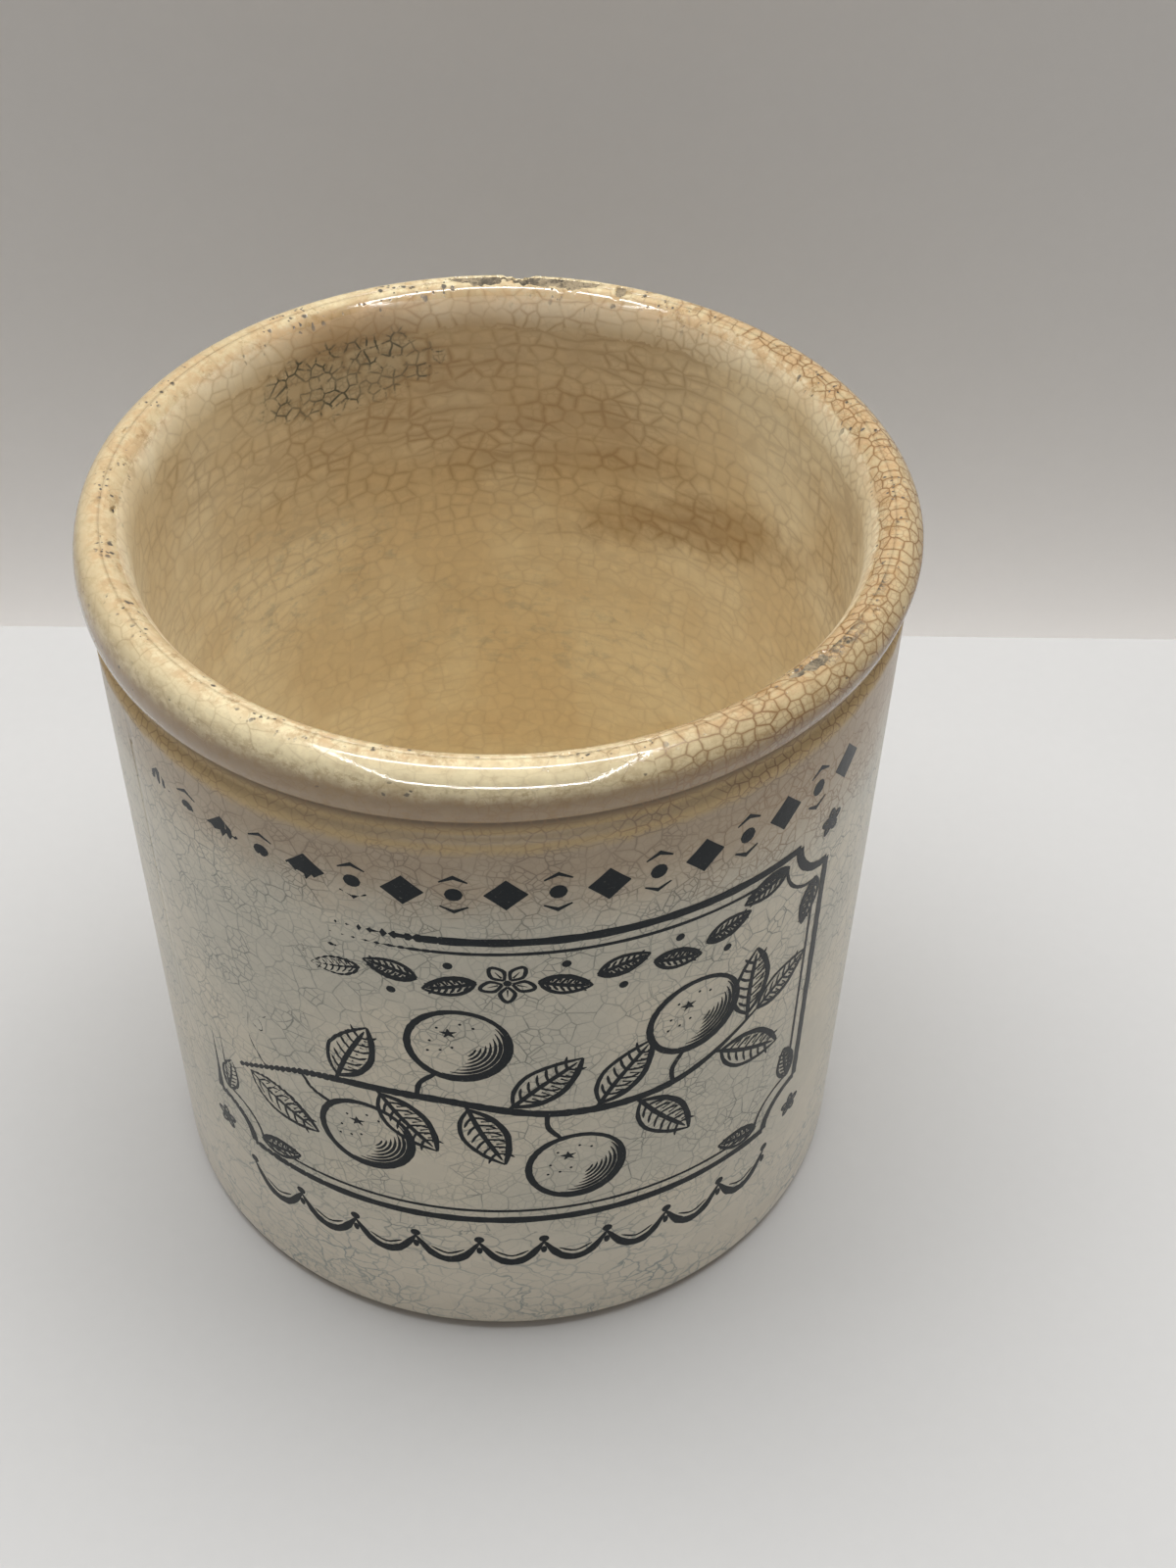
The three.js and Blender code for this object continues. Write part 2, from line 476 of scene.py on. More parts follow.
def shared_group(name, inputs, outputs):
    """Makes a function that adds nodes into one that gives a shader group of them, built once, with named sockets."""

    def made_by(fill):
        def tree():
            made = bpy.data.node_groups.get(name)
            if made is None:
                made = bpy.data.node_groups.new(name, "ShaderNodeTree")
                for side, sockets in (("INPUT", inputs), ("OUTPUT", outputs)):
                    for socket in sockets:
                        kind = "NodeSocketVector" if socket in VECTOR_SOCKETS else "NodeSocketFloat"
                        made.interface.new_socket(socket, in_out=side, socket_type=kind)
                n = Nodes(made)
                n.add("NodeGroupOutput", dict(zip(outputs, fill(n, n.add("NodeGroupInput").outputs))))
            return made

        return tree

    return made_by


@shared_group("Surface Spread", (), ("Outside", "Inside", "Lip", "Place", "Angle", "Back Angle", "Height", "Radius"))
def surface_spread(n, _):
    """Unrolls the turned surface: millimetres round and up it, with the seam at the back."""
    sizes = bpy.context.scene.pot_sizes
    rim, crest = sizes.rim_radius / MM, sizes.crest_height / MM
    place = n.scaled(n.add("ShaderNodeTexCoord").outputs["Object"], 1 / MM)
    x, y, height = n.separate(place)
    radius = n.vector("LENGTH", n.combine(x, y))
    # The height that a place had before the groove was tilted
    level, outer = crest - sizes.rim_height / MM, n.math("GREATER_THAN", radius, rim - TILT_INSIDE)
    tilt = n.product(n.math("DIVIDE", x, radius), outer, sizes.groove_tilt / MM)
    straight = height
    for _ in range(2):
        rise = n.fade(straight, level + TILT_STARTS, level + TILT_FULL)
        fall = n.fade(straight, level + TILT_ENDS, level + TILT_FADES)
        straight = n.less(height, n.product(tilt, n.product(rise, fall)))
    front = n.math("ARCTAN2", x, n.product(y, -1.0))
    back = n.math("ARCTAN2", x, y)
    fold = n.less(rim, radius)
    outside = n.combine(n.product(front, rim - UNROLL_OUTSIDE), n.plus(height, fold))
    down = n.less(n.plus(fold, 2 * crest), height)
    inside = n.combine(n.product(back, rim - UNROLL_INSIDE), down)
    lip = n.combine(n.product(front, rim - UNROLL_OUTSIDE), down)
    return outside, inside, lip, place, n.math("DEGREES", front), n.math("DEGREES", back), straight, radius


@shared_group(
    "Crazing",
    ("Spread", "Cell", "Grid", "Line", "Wander", "Second", "Fine", "Halo Width", "Weakest"),
    ("Lines", "Halo", "Tone"),
)
def crazing(n, given):
    """A net of fine cracks whose smaller cracks stop at the larger ones. Sizes in millimetres."""
    spread, cell, halo_width = given["Spread"], given["Cell"], given["Halo Width"]
    drift = n.vector("SUBTRACT", n.noise(spread, 4.0, 2.0, output="Color"), (0.5, 0.5, 0.5))
    shiver = n.vector("SUBTRACT", n.noise(spread, 0.9, 1.0, output="Color"), (0.5, 0.5, 0.5))
    wander = n.vector("ADD", n.scaled(drift, given["Wander"]), n.scaled(shiver, n.product(given["Wander"], 0.22)))
    place = n.vector("ADD", spread, wander)

    def net(vector, size):
        """How far the nearest crack is, and a colour for each cell."""
        at = n.scaled(vector, n.math("DIVIDE", 1.0, size))
        inputs = {"Vector": at, "Scale": 1.0, "Randomness": given["Grid"]}
        return n.product(n.cells(inputs, "DISTANCE_TO_EDGE")["Distance"], size), n.cells(inputs, "F1")["Color"]

    def line(distance, width):
        return n.rest(n.fade(distance, n.product(width, 0.25), width))

    second_cell, fine_cell = n.product(cell, 0.46), n.product(cell, 0.2)
    first, first_colour = net(place, cell)
    second, second_colour = net(n.vector("ADD", place, n.scaled(first_colour, 310.0)), second_cell)
    fine, _ = net(n.vector("ADD", place, n.scaled(second_colour, 170.0)), fine_cell)
    chance, fine_chance = n.separate(first_colour), n.separate(second_colour)

    strength = n.blend(n.fade(n.noise(spread, 7.0, 3.0, 0.6), 0.36, 0.62), given["Weakest"], 1.0)
    width = n.product(given["Line"], n.blend(n.noise(spread, 2.3, 2.0), 0.6, 1.5))
    second_share = n.product(given["Second"], n.blend(n.fade(chance[0], 0.15, 0.75), 0.25, 1.0))
    fine_share = n.product(given["Fine"], n.fade(fine_chance[1], 0.55, 0.8))
    lines = n.most(
        line(first, width),
        n.product(line(second, n.product(width, 0.8)), second_share),
        n.product(line(fine, n.product(width, 0.6)), fine_share),
    )
    near = n.math("MINIMUM", first, n.blend(second_share, halo_width, second))
    halo = n.math("POWER", n.rest(n.fade(near, 0.0, halo_width)), 1.6)
    return n.product(lines, strength), n.product(halo, strength), fine_chance[2]


@shared_group("Stain And Shade Patch", ("Spread", "Centre", "Across", "Up", "Turn", "Ragged"), ("Mask",))
def patch(n, given):
    """A soft-edged stain or patch of painted shade about a place on the surface, its edge moved in and out by Ragged.
    Sizes in millimetres.
    """
    away = n.vector("SUBTRACT", given["Spread"], given["Centre"])
    turned_away = n.add("ShaderNodeVectorRotate", {"Vector": away, "Angle": given["Turn"]}, rotation_type="Z_AXIS")
    x, y, _ = n.separate(turned_away.outputs[0])
    reach = n.vector("LENGTH", n.combine(n.math("DIVIDE", x, given["Across"]), n.math("DIVIDE", y, given["Up"])))
    return (n.rest(n.fade(n.plus(reach, given["Ragged"]), 0.35, 1.15)),)


@shared_group("Specks", ("Spread", "Spacing", "Size", "Share"), ("Mask",))
def specks(n, given):
    """Small scattered specks of uneven size. Sizes in millimetres."""
    shaken = n.vector("ADD", given["Spread"], n.scaled(n.noise(given["Spread"], 0.7, 2.0, output="Color"), 0.55))
    at = n.scaled(shaken, n.math("DIVIDE", 1.0, given["Spacing"]))
    cell = n.cells({"Vector": at, "Scale": 1.0}, "F1")
    distance = n.product(cell["Distance"], given["Spacing"])
    chance = n.separate(cell["Color"])
    size = n.product(given["Size"], n.blend(chance[1], 0.35, 1.0))
    dot = n.rest(n.fade(distance, n.product(size, 0.5), size))
    return (n.product(dot, n.math("LESS_THAN", chance[0], given["Share"])),)


@shared_group("Rim Wear", ("Place", "Radius", "Height", "Right"), ("Tan", "Smudges", "Pits"))
def rim_wear(n, given):
    """Mottling, smudges and pits along the crest, the same on both coats that meet there. Sizes in millimetres."""
    place, right = given["Place"], given["Right"]
    crest = n.product(n.fade(given["Height"], 107.6, 109.8), n.band(given["Radius"], 47.7, 51.9, 1.8))
    broad = n.fade(n.noise(place, 8.0, 3.0, 0.6), 0.38, 0.60)
    fine = n.fade(n.noise(place, 1.9, 5.0, 0.72), 0.40, 0.58)
    heavy = n.most(n.product(broad, 0.8), right)
    tan = n.product(crest, fine, n.blend(heavy, 0.40, 1.0))
    blotch = n.fade(n.noise(place, 3.4, 5.0, 0.75), 0.565, 0.66)
    smudges = n.product(crest, blotch, n.blend(right, 0.75, 1.0))
    cluster = n.fade(n.noise(place, 6.0, 2.0), 0.48, 0.55)
    dots = n.group(specks(), {"Spread": place, "Spacing": 1.5, "Size": 0.5, "Share": 0.55})["Mask"]
    small = n.group(specks(), {"Spread": place, "Spacing": 0.8, "Size": 0.26, "Share": 0.4})["Mask"]
    pits = n.product(crest, cluster, n.most(dots, small), n.fade(n.noise(place, 2.6, 2.0), 0.46, 0.52))
    return tan, smudges, pits


def new_material(name):
    material = bpy.data.materials.new(name)
    material.use_nodes = True
    material.node_tree.nodes.clear()
    return material, Nodes(material.node_tree)


def glossy_glaze(n, tint, height, roughness, ior=1.58):
    """The glaze's shader, with its waviness and cracks in a bump."""
    n.surface(n.shader(base_color=tint, roughness=roughness, ior=ior, normal=n.bump(height)))


def glaze_height(n, place):
    """Millimetres of waviness in the coat."""
    return n.plus(n.product(n.noise(place, 14.0, 1.0), 0.10), n.product(n.noise(place, 1.1, 2.0), 0.016))


def crazed(n, **inputs):
    """The crazing group, its inputs given by their names in lower case."""
    return n.group(crazing(), titled(inputs))


def masks_round(n, angle):
    """Masks of the pot's right and left, of the right with a hard edge, and of how stained the roll is there."""
    right = n.band(angle, 20.0, 150.0, 40.0)
    left = n.band(angle, -150.0, -52.0, 40.0)
    sides = n.most(n.product(right, 0.52), n.product(left, 0.38))
    return right, left, n.math("GREATER_THAN", right, 0.45), sides


def unevenness(n, place):
    """Fine mottling, and the same about 0, to move the edges of stains in and out."""
    mottled = n.noise(place, 5.0, 5.0, 0.66)
    return mottled, n.product(n.less(mottled, 0.5), 1.2)


def stains(n, spread, ragged, place_of, patches):
    """The mask of some stains, and of the painted shade of the dull patches, where place_of gives the place of an angle
    and a height on the spread.
    """
    masks = []
    for angle, height, across, up, *more in patches:
        turn, share = more[0] if more else 0.0, more[1] if len(more) > 1 else 1.0
        centre = (*place_of(math.radians(angle), height), 0)
        inputs = {"Spread": spread, "Centre": centre, "Across": across, "Up": up, "Turn": turn, "Ragged": ragged}
        mask = n.group(patch(), inputs)["Mask"]
        masks.append(mask if share == 1.0 else n.product(mask, share))
    return n.most(*masks)


# The crazing of the roll on the pot's left and on its right
ROLL_CELL, ROLL_LINE, ROLL_WEAKEST = (2.9, 2.15), (0.12, 0.17), (0.35, 0.8)

# Stains, and the painted shade of the dull patches inside: degrees from the front outside and from the back inside,
# height, half width and half height in millimetres, then a turn in radians and a share where they aren't 0 and 1
OUTER_STAINS = {
    "uncrazed": ((40, 12.5, 10, 5, 0.3), (-14, 40, 8, 4, 0.2), (56, 36, 11, 24, 0.1)),
    "brown": ((58, 95, 42, 14), (-74, 96, 14, 7, 0.0, 0.35)),
    "bloom": ((70, 42, 8, 20), (-34, 10, 20, 5), (6, 6.5, 22, 3.5), (52, 12, 14, 4)),
    "grimy": ((52, 116, 7, 3.2), (8.5, 115.6, 3.4, 1.0), (66, 116, 3, 2)),
}
INNER_STAINS = {
    "tide": ((40, 78, 28, 6.5, 0.3), (14, 84, 26, 4.5, 0.1, 0.65)),
    "brown": (
        (2, 91, 34, 6.0, 0.0, 0.5),
        (31, 102, 13, 6, 0.0, 0.6),
        (82, 95, 14, 15, 0.0, 0.7),
        (-8, 101, 10, 7, 0.0, 0.85),
        (-66, 99, 12, 7, 0.0, 0.6),
    ),
    # dull: painted shade on the left of the inside wall, not a stain
    "dull": ((-33, 53, 27, 17), (-62, 84, 16, 10, 0.0, 0.35)),
    "mildew": ((-28, 101.3, 16, 7.0),),
    "smudges": ((-42, 70, 26, 15), (10, 50, 34, 14, 0.0, 0.8)),
}


def outer_glaze_material(colours, sizes):
    """Cream glaze: beige and finely crazed on the wall, yellow in the groove, stained brown on the roll."""
    material, n = new_material("Crazed Cream Glaze")
    at = n.group(surface_spread(), {})
    spread, place, height = at["Outside"], at["Place"], at["Height"]
    roll = (sizes.crest_height - sizes.rim_height) / MM
    groove = roll - sizes.groove_height / MM
    unrolled = sizes.rim_radius / MM - UNROLL_OUTSIDE
    mottled, ragged = unevenness(n, spread)

    def stain(name):
        return stains(n, spread, ragged, lambda turn, up: (turn * unrolled, up), OUTER_STAINS[name])

    # Zones, up the wall and round it
    unsteady = n.plus(height, n.product(ragged, 9.0))
    uneven_edge = n.plus(height, n.product(ragged, 1.6))
    on_roll = n.math("GREATER_THAN", height, roll + 0.1)
    below_roll = n.rest(on_roll)
    in_groove = n.math("GREATER_THAN", uneven_edge, groove - 0.4)
    at_foot = n.math("LESS_THAN", unsteady, 24.0)
    upper = n.math("GREATER_THAN", unsteady, 82.0)
    golden = n.product(n.fade(uneven_edge, groove - 2.0, groove + 0.1), below_roll)
    # The groove under the roll: painted shade over its pooled glaze
    shaded_groove = n.product(n.fade(height, groove + 1.5, groove + 3.3), below_roll)
    low = n.fade(height, 34.0, 8.0)
    right, left, right_side, sides = masks_round(n, at["Angle"])
    # The lower half of the roll: a brown stain, and painted shade where it faces down
    under = n.product(on_roll, n.fade(n.plus(height, n.product(ragged, 2.0)), roll + 5.2, roll + 3.0))
    toned = n.product(n.fade(unsteady, groove - 17.0, groove - 3.0), n.blend(left, 0.9, 0.55), below_roll)

    # The roll and the groove craze in smaller cells than the wall, and the foot in longer ones
    net = crazed(
        n,
        spread=n.choose(at_foot, spread, n.vector("MULTIPLY", spread, (0.7, 1.0, 1.0))),
        cell=n.over(
            3.0, (at_foot, 4.2), (upper, 2.3), (in_groove, 1.5), (on_roll, n.blend(right_side, *ROLL_CELL))
        ),
        grid=n.over(1.0, (on_roll, 0.85)),
        line=n.over(0.125, (at_foot, 0.16), (in_groove, 0.14), (on_roll, n.blend(right_side, *ROLL_LINE))),
        wander=n.over(1.1, (at_foot, 3.4), (in_groove, 0.5), (on_roll, 1.0)),
        second=n.over(0.9, (in_groove, 0.4), (on_roll, n.blend(under, 0.45, 0.9))),
        fine=n.over(0.12, (in_groove, 0.0), (on_roll, n.blend(under, 0.0, 0.5))),
        halo_width=n.over(0.45, (in_groove, 0.3), (on_roll, 0.6)),
        weakest=n.over(0.35, (on_roll, n.blend(right_side, *ROLL_WEAKEST))),
    )
    crazed_here = n.rest(stain("uncrazed"))
    lines, halo = n.product(net["Lines"], crazed_here), n.product(net["Halo"], crazed_here)

    # Brown stain, heaviest on the right of the roll and below it
    stained_wall = stain("brown")
    wear = n.group(rim_wear(), {"Place": place, "Radius": at["Radius"], "Height": height, "Right": right})
    flecks = n.product(on_roll, n.fade(n.noise(spread, 3.2, 5.0, 0.72), 0.46, 0.66))
    lower = n.fade(height, roll + 6.2, roll + 4.0)
    ragged_line = n.fade(n.noise(spread, 1.7, 5.0, 0.75), 0.47, 0.60)
    fringe = n.product(on_roll, n.band(height, roll + 3.0, roll + 5.6, 2.2), ragged_line)
    dots = n.group(specks(), {"Spread": spread, "Spacing": 2.6, "Size": 0.42, "Share": 0.3})["Mask"]
    dotted = n.fade(n.noise(spread, 9.0, 2.0), 0.46, 0.54)
    spots = n.product(on_roll, dots, n.band(height, roll + 2.4, roll + 5.4, 1.2), dotted)
    bloom = n.product(stain("bloom"), n.fade(n.noise(spread, 1.3, 4.0, 0.7), 0.50, 0.62))

    tint = n.mix(n.fade(n.noise(place, 20.0, 2.0), 0.35, 0.65), colours.wall, colours.wall_shade)
    tint = n.mix(n.product(left, n.fade(height, 50.0, 80.0), 0.6), tint, colours.wall_shade)
    tint = n.mix(n.product(low, 0.8), tint, colours.foot)
    tint = n.mix(n.product(toned, n.blend(mottled, 0.8, 1.05)), tint, colours.toned)
    tint = n.mix(n.product(golden, n.blend(mottled, 0.8, 1.1)), tint, colours.shoulder)
    # Painted shade in the groove under the roll
    tint = n.mix(n.product(shaded_groove, n.blend(left, 1.0, 0.6)), tint, colours.groove)
    tint = n.mix(on_roll, tint, colours.rim)
    tint = n.mix(n.product(on_roll, sides), tint, colours.stain)
    # Painted shade and brown stain on the roll's lower half
    tint = n.mix(n.product(under, n.blend(mottled, 0.85, 1.1)), tint, colours.roll_stain_and_shade)
    tint = n.mix(n.product(wear["Tan"], 0.8), tint, colours.worn_tan)
    brown = n.most(
        n.product(stained_wall, n.blend(halo, 0.10, 0.40)),
        n.product(flecks, n.blend(right, 0.55, 0.75), n.blend(lower, 0.5, 1.0)),
        n.product(wear["Smudges"], 0.7),
        n.product(stained_wall, 0.16),
        n.product(fringe, 0.55),
    )
    tint = n.mix(n.product(brown, n.blend(mottled, 0.7, 1.1)), tint, colours.stain)
    tint = n.mix(n.product(bloom, 0.42), tint, colours.crack_blue)
    tint = n.shaded(tint, n.blend(net["Tone"], 0.96, 1.03))

    # The cracks: brown where the glaze is stained, else grey, and blue-grey near the foot
    warm = n.most(on_roll, golden, n.product(stained_wall, 0.9), n.product(toned, 0.55))
    crack = n.mix(warm, n.mix(low, colours.crack_grey, colours.crack_blue), colours.crack_brown)
    uneven = n.fade(n.noise(spread, 10.0, 2.0), 0.38, 0.62)
    cold_dark = n.blend(left, n.blend(uneven, 0.62, 1.0), 0.75)
    warm_dark = n.blend(right, n.blend(uneven, 0.06, 0.28), n.blend(uneven, 0.68, 0.92))
    groove_dark = n.blend(on_roll, n.blend(right, 0.45, 0.85), warm_dark)
    darkness = n.blend(in_groove, n.blend(warm, cold_dark, 0.78), groove_dark)
    around = n.product(halo, n.blend(on_roll, n.blend(warm, 0.12, 0.30), n.blend(right, 0.12, 0.52)))
    tint = n.mix(around, tint, n.mix(warm, crack, colours.stain))
    tint = n.mix(n.product(lines, darkness), tint, crack)

    # Dirt in the pits of the crest, and dark specks on the roll
    grime = n.product(on_roll, stain("grimy"), n.fade(n.noise(spread, 0.8, 4.0, 0.7), 0.40, 0.60))
    for dirt in (n.product(grime, 0.9), wear["Pits"], n.product(spots, 0.85)):
        tint = n.mix(dirt, tint, colours.broken_clay)

    dirty = n.most(wear["Pits"], grime)
    rough = n.most(
        n.product(lines, 0.4), n.product(wear["Tan"], 0.3), dirty, n.product(below_roll, 0.4), golden, shaded_groove
    )
    sunk = n.less(glaze_height(n, place), n.product(dirty, PIT_DEPTH))
    glossy_glaze(n, tint, sunk, n.blend(rough, 0.07, 0.58))
    return material


def inner_glaze_material(colours, sizes):
    """Tan-stained glaze with a blocky net of brown cracks, a tide mark and dark mildewed patches."""
    material, n = new_material("Stained Lining Glaze")
    at = n.group(surface_spread(), {})
    place, height, radius, unrolled, back = at["Place"], at["Height"], at["Radius"], at["Inside"], at["Back Angle"]
    wall_radius = sizes.rim_radius / MM - UNROLL_INSIDE
    twice = 2 * sizes.crest_height / MM + UNROLL_INSIDE

    mottled, ragged = unevenness(n, place)
    cloudy = n.noise(place, 16.0, 3.0, 0.55)
    edge = n.product(ragged, 4.0)
    below_lip = n.math("LESS_THAN", n.plus(height, edge), 106.5)
    on_floor = n.math("LESS_THAN", n.plus(radius, edge), 37.0)
    walled = n.choose(below_lip, at["Lip"], n.vector("MULTIPLY", unrolled, (0.8, 1.0, 1.0)))
    spread = n.choose(on_floor, walled, n.vector("ADD", place, (400.0, 0.0, 0.0)))

    def stain(name):
        return stains(n, unrolled, ragged, lambda turn, up: (turn * wall_radius, twice - up), INNER_STAINS[name])

    # The cream of the roll reaches less far in at the back
    cream_edge = n.plus(n.product(ragged, 0.7), n.product(n.band(back, -48.0, 60.0, 40.0), -1.1))
    lip = n.fade(n.plus(radius, cream_edge), 47.9, 48.6)
    right, _, right_side, sides = masks_round(n, at["Angle"])
    tide = stain("tide")
    brown = n.most(tide, stain("brown"))
    veil = n.product(n.fade(height, 70.0, 92.0), n.band(back, -48.0, 34.0, 40.0))
    # Painted shade on the left of the inside wall, laid like a stain
    dull = stain("dull")
    mildew = stain("mildew")
    blotchy = n.noise(n.vector("MULTIPLY", unrolled, (0.6, 1.0, 1.0)), 2.6, 4.0, 0.7)
    smudges = n.product(stain("smudges"), n.fade(blotchy, 0.50, 0.66))

    net = crazed(
        n,
        spread=spread,
        cell=n.blend(below_lip, n.blend(right_side, *ROLL_CELL), 2.6),
        grid=n.blend(below_lip, 0.85, 0.70),
        line=n.blend(below_lip, n.blend(right_side, *ROLL_LINE), 0.17),
        wander=n.blend(below_lip, 1.0, 0.8),
        second=n.blend(below_lip, 0.4, 0.5),
        fine=0.0,
        halo_width=n.blend(below_lip, 0.6, 0.9),
        weakest=n.blend(below_lip, n.blend(right_side, *ROLL_WEAKEST), 0.30),
    )
    # Long cracks that run round the pot
    long_run = n.vector("MULTIPLY", unrolled, (0.07, 1.0, 1.0))
    drift = n.scaled(n.vector("SUBTRACT", n.noise(unrolled, 9.0, 2.0, output="Color"), (0.5, 0.5, 0.5)), 4.0)
    rounds = n.cells(
        {"Vector": n.vector("ADD", long_run, drift), "Scale": 0.26, "Randomness": 1.0}, "DISTANCE_TO_EDGE"
    )["Distance"]
    here = n.product(below_lip, n.fade(cloudy, 0.35, 0.6))
    lines = n.most(net["Lines"], n.product(n.fade(rounds, 0.06, 0.015), here))
    halo = n.most(net["Halo"], n.product(n.product(n.fade(rounds, 0.30, 0.0), here), 0.7))
    # Deeper down the inside wall: painted bounce light there, and weaker cracks
    deep = n.fade(height, 84.0, 52.0)

    tint = n.mix(n.fade(cloudy, 0.35, 0.65), colours.lining, colours.lining_pale)
    # Painted bounce light: paler deeper inside
    tint = n.mix(n.product(deep, 0.2), tint, colours.lining_pale)
    # Painted shade on the left of the inside wall
    tint = n.mix(n.product(dull, n.blend(mottled, 0.0, 0.25)), tint, colours.lining_shade)
    tint = n.mix(n.product(veil, n.blend(halo, 0.36, 0.54)), tint, colours.stain)
    browned = n.blend(tide, n.blend(halo, 0.22, 0.50), n.blend(halo, 0.60, 0.84))
    tint = n.mix(n.product(brown, browned, n.blend(mottled, 0.6, 1.15)), tint, colours.stain)
    behind = n.most(n.band(back, -38.0, -12.0, 18.0), n.product(n.band(back, -46.0, 44.0, 26.0), 0.35))
    under_lip = n.product(n.band(height, 106.2, 111.4, 2.0), behind)
    tint = n.mix(n.product(under_lip, n.blend(mottled, 0.65, 0.85)), tint, colours.stain)
    tint = n.mix(lip, tint, colours.rim)
    tint = n.mix(n.product(lip, sides), tint, colours.stain)
    wear = n.group(rim_wear(), {"Place": place, "Radius": radius, "Height": height, "Right": right})
    flecks = n.product(lip, n.fade(n.noise(spread, 3.2, 5.0, 0.72), 0.48, 0.68))
    tint = n.mix(n.product(wear["Tan"], 0.8), tint, colours.worn_tan)
    tint = n.mix(n.product(flecks, n.blend(right, 0.28, 0.40)), tint, colours.stain)
    tint = n.mix(n.product(wear["Smudges"], 0.7), tint, colours.stain)
    tint = n.shaded(tint, n.blend(net["Tone"], 0.96, 1.03))
    tint = n.mix(n.product(smudges, 0.3), tint, colours.crack_blue)

    on_wall = n.blend(deep, n.blend(n.most(brown, veil), 0.24, 0.38), 0.15)
    strength = n.blend(lip, on_wall, n.blend(right, 0.12, 0.85))
    tint = n.mix(n.product(halo, strength, n.blend(lip, 0.8, 0.5)), tint, colours.stain)
    tint = n.mix(n.product(lines, strength, n.blend(lip, 0.55, 1.0)), tint, colours.crack_brown)
    # Fine black-green growth in the cracks of one patch
    growth = crazed(
        n,
        spread=unrolled,
        cell=1.9,
        grid=0.8,
        line=0.24,
        wander=0.9,
        second=0.3,
        fine=0.0,
        halo_width=0.5,
        weakest=0.5,
    )
    grown = n.product(n.fade(mildew, 0.08, 0.45), n.fade(n.noise(unrolled, 2.7, 3.0, 0.6), 0.37, 0.49))
    thick = n.most(growth["Lines"], n.product(growth["Halo"], n.fade(n.noise(unrolled, 1.2, 2.0), 0.52, 0.62)))
    tint = n.mix(n.product(mildew, 0.22), tint, colours.crack_grey)
    tint = n.mix(n.product(thick, grown, 0.92), tint, colours.crack_green)

    pits = wear["Pits"]
    tint = n.mix(pits, tint, colours.broken_clay)
    dulled = n.product(n.fade(height, 111.1, 110.1), 0.9)
    roughness = n.blend(n.most(n.product(lines, 0.3), pits, dulled), 0.08, 0.60)
    glossy_glaze(n, tint, n.less(glaze_height(n, place), n.product(pits, PIT_DEPTH)), roughness)
    return material


def base_glaze_material(colours):
    """Cream glaze of the recess, crazed in wide grey cells and dirtied beside the ring."""
    material, n = new_material("Recess Glaze")
    at = n.group(surface_spread(), {})
    place = at["Place"]
    net = crazed(
        n,
        spread=place,
        cell=6.5,
        grid=1.0,
        line=0.16,
        wander=2.5,
        second=0.7,
        fine=0.3,
        halo_width=0.8,
        weakest=0.35,
    )
    dirty = n.product(n.fade(at["Radius"], 34.0, 42.0), n.fade(n.noise(place, 6.0, 4.0, 0.6), 0.3, 0.7))
    tint = n.mix(n.fade(n.noise(place, 18.0), 0.35, 0.65), colours.foot, colours.wall)
    tint = n.mix(n.product(dirty, 0.6), tint, colours.stain)
    tint = n.mix(n.product(net["Halo"], 0.15), tint, colours.crack_blue)
    tint = n.mix(n.product(net["Lines"], 0.6), tint, colours.crack_grey)
    glossy_glaze(n, tint, glaze_height(n, place), n.blend(dirty, 0.12, 0.4))
    return material


def clay_material(colours):
    """Dry porous clay: pale and scuffed on the foot ring, soaked brown and gritty in the chips."""
    material, n = new_material("Fired Clay")
    at = n.group(surface_spread(), {})
    place = at["Place"]
    high = n.fade(at["Height"], 20.0, 60.0)
    grit = n.noise(place, 0.45, 4.0, 0.65)
    soaked = n.noise(place, 2.2, 4.0, 0.6)
    clean = n.mix(n.fade(n.noise(place, 7.0, 5.0, 0.65), 0.35, 0.65), colours.clay, colours.stain)
    dirty = n.mix(n.fade(soaked, 0.40, 0.60), colours.broken_clay, colours.soaked_clay)
    tint = n.mix(high, n.mix(0.6, colours.clay, clean), dirty)
    tint = n.mix(n.product(n.fade(grit, 0.55, 0.70), 0.7), tint, colours.crack_green)
    tint = n.mix(n.product(n.fade(grit, 0.42, 0.30), 0.7), tint, colours.clay)
    n.surface(n.shader(base_color=tint, roughness=0.85, normal=n.bump(n.product(grit, 0.12))))
    return material


def ink_material(colours):
    """Blue-black ink under the glaze: thin in places, with pinholes."""
    material, n = new_material("Transfer Ink")
    at = n.group(surface_spread(), {})
    spread = at["Outside"]
    worn = n.fade(n.noise(spread, 9.0, 3.0), 0.42, 0.68)
    thin = n.product(n.fade(n.noise(spread, 0.45, 3.0, 0.7), 0.60, 0.78), n.blend(worn, 0.08, 0.55))
    tint = n.mix(thin, colours.ink, colours.wall_shade)
    glossy_glaze(n, tint, glaze_height(n, at["Place"]), 0.2, ior=1.25)
    return material


def dress(piece, material, slot, *stands_for):
    """Gives a finished piece its material, and its place in the frame."""
    piece.data.materials.clear()
    piece.data.materials.append(material)
    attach(piece, ROOT)
    if stands_for:
        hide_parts(*stands_for)


class POT_OT_fired_clay(bpy.types.Operator):
    """Turn the clay body, with its rolled rim, string groove, wall, floor and foot ring"""

    bl_idname = "pot.fired_clay"
    bl_label = "Fired Clay"

    def execute(self, context):
        sizes = context.scene.pot_sizes
        piece = turned("fired_clay", PotSection(sizes).clay, sizes.steps_round)
        unlevel(piece, sizes)
        dress(piece, clay_material(context.scene.pot_colours), "biscuit", "clay_body")
        return {"FINISHED"}


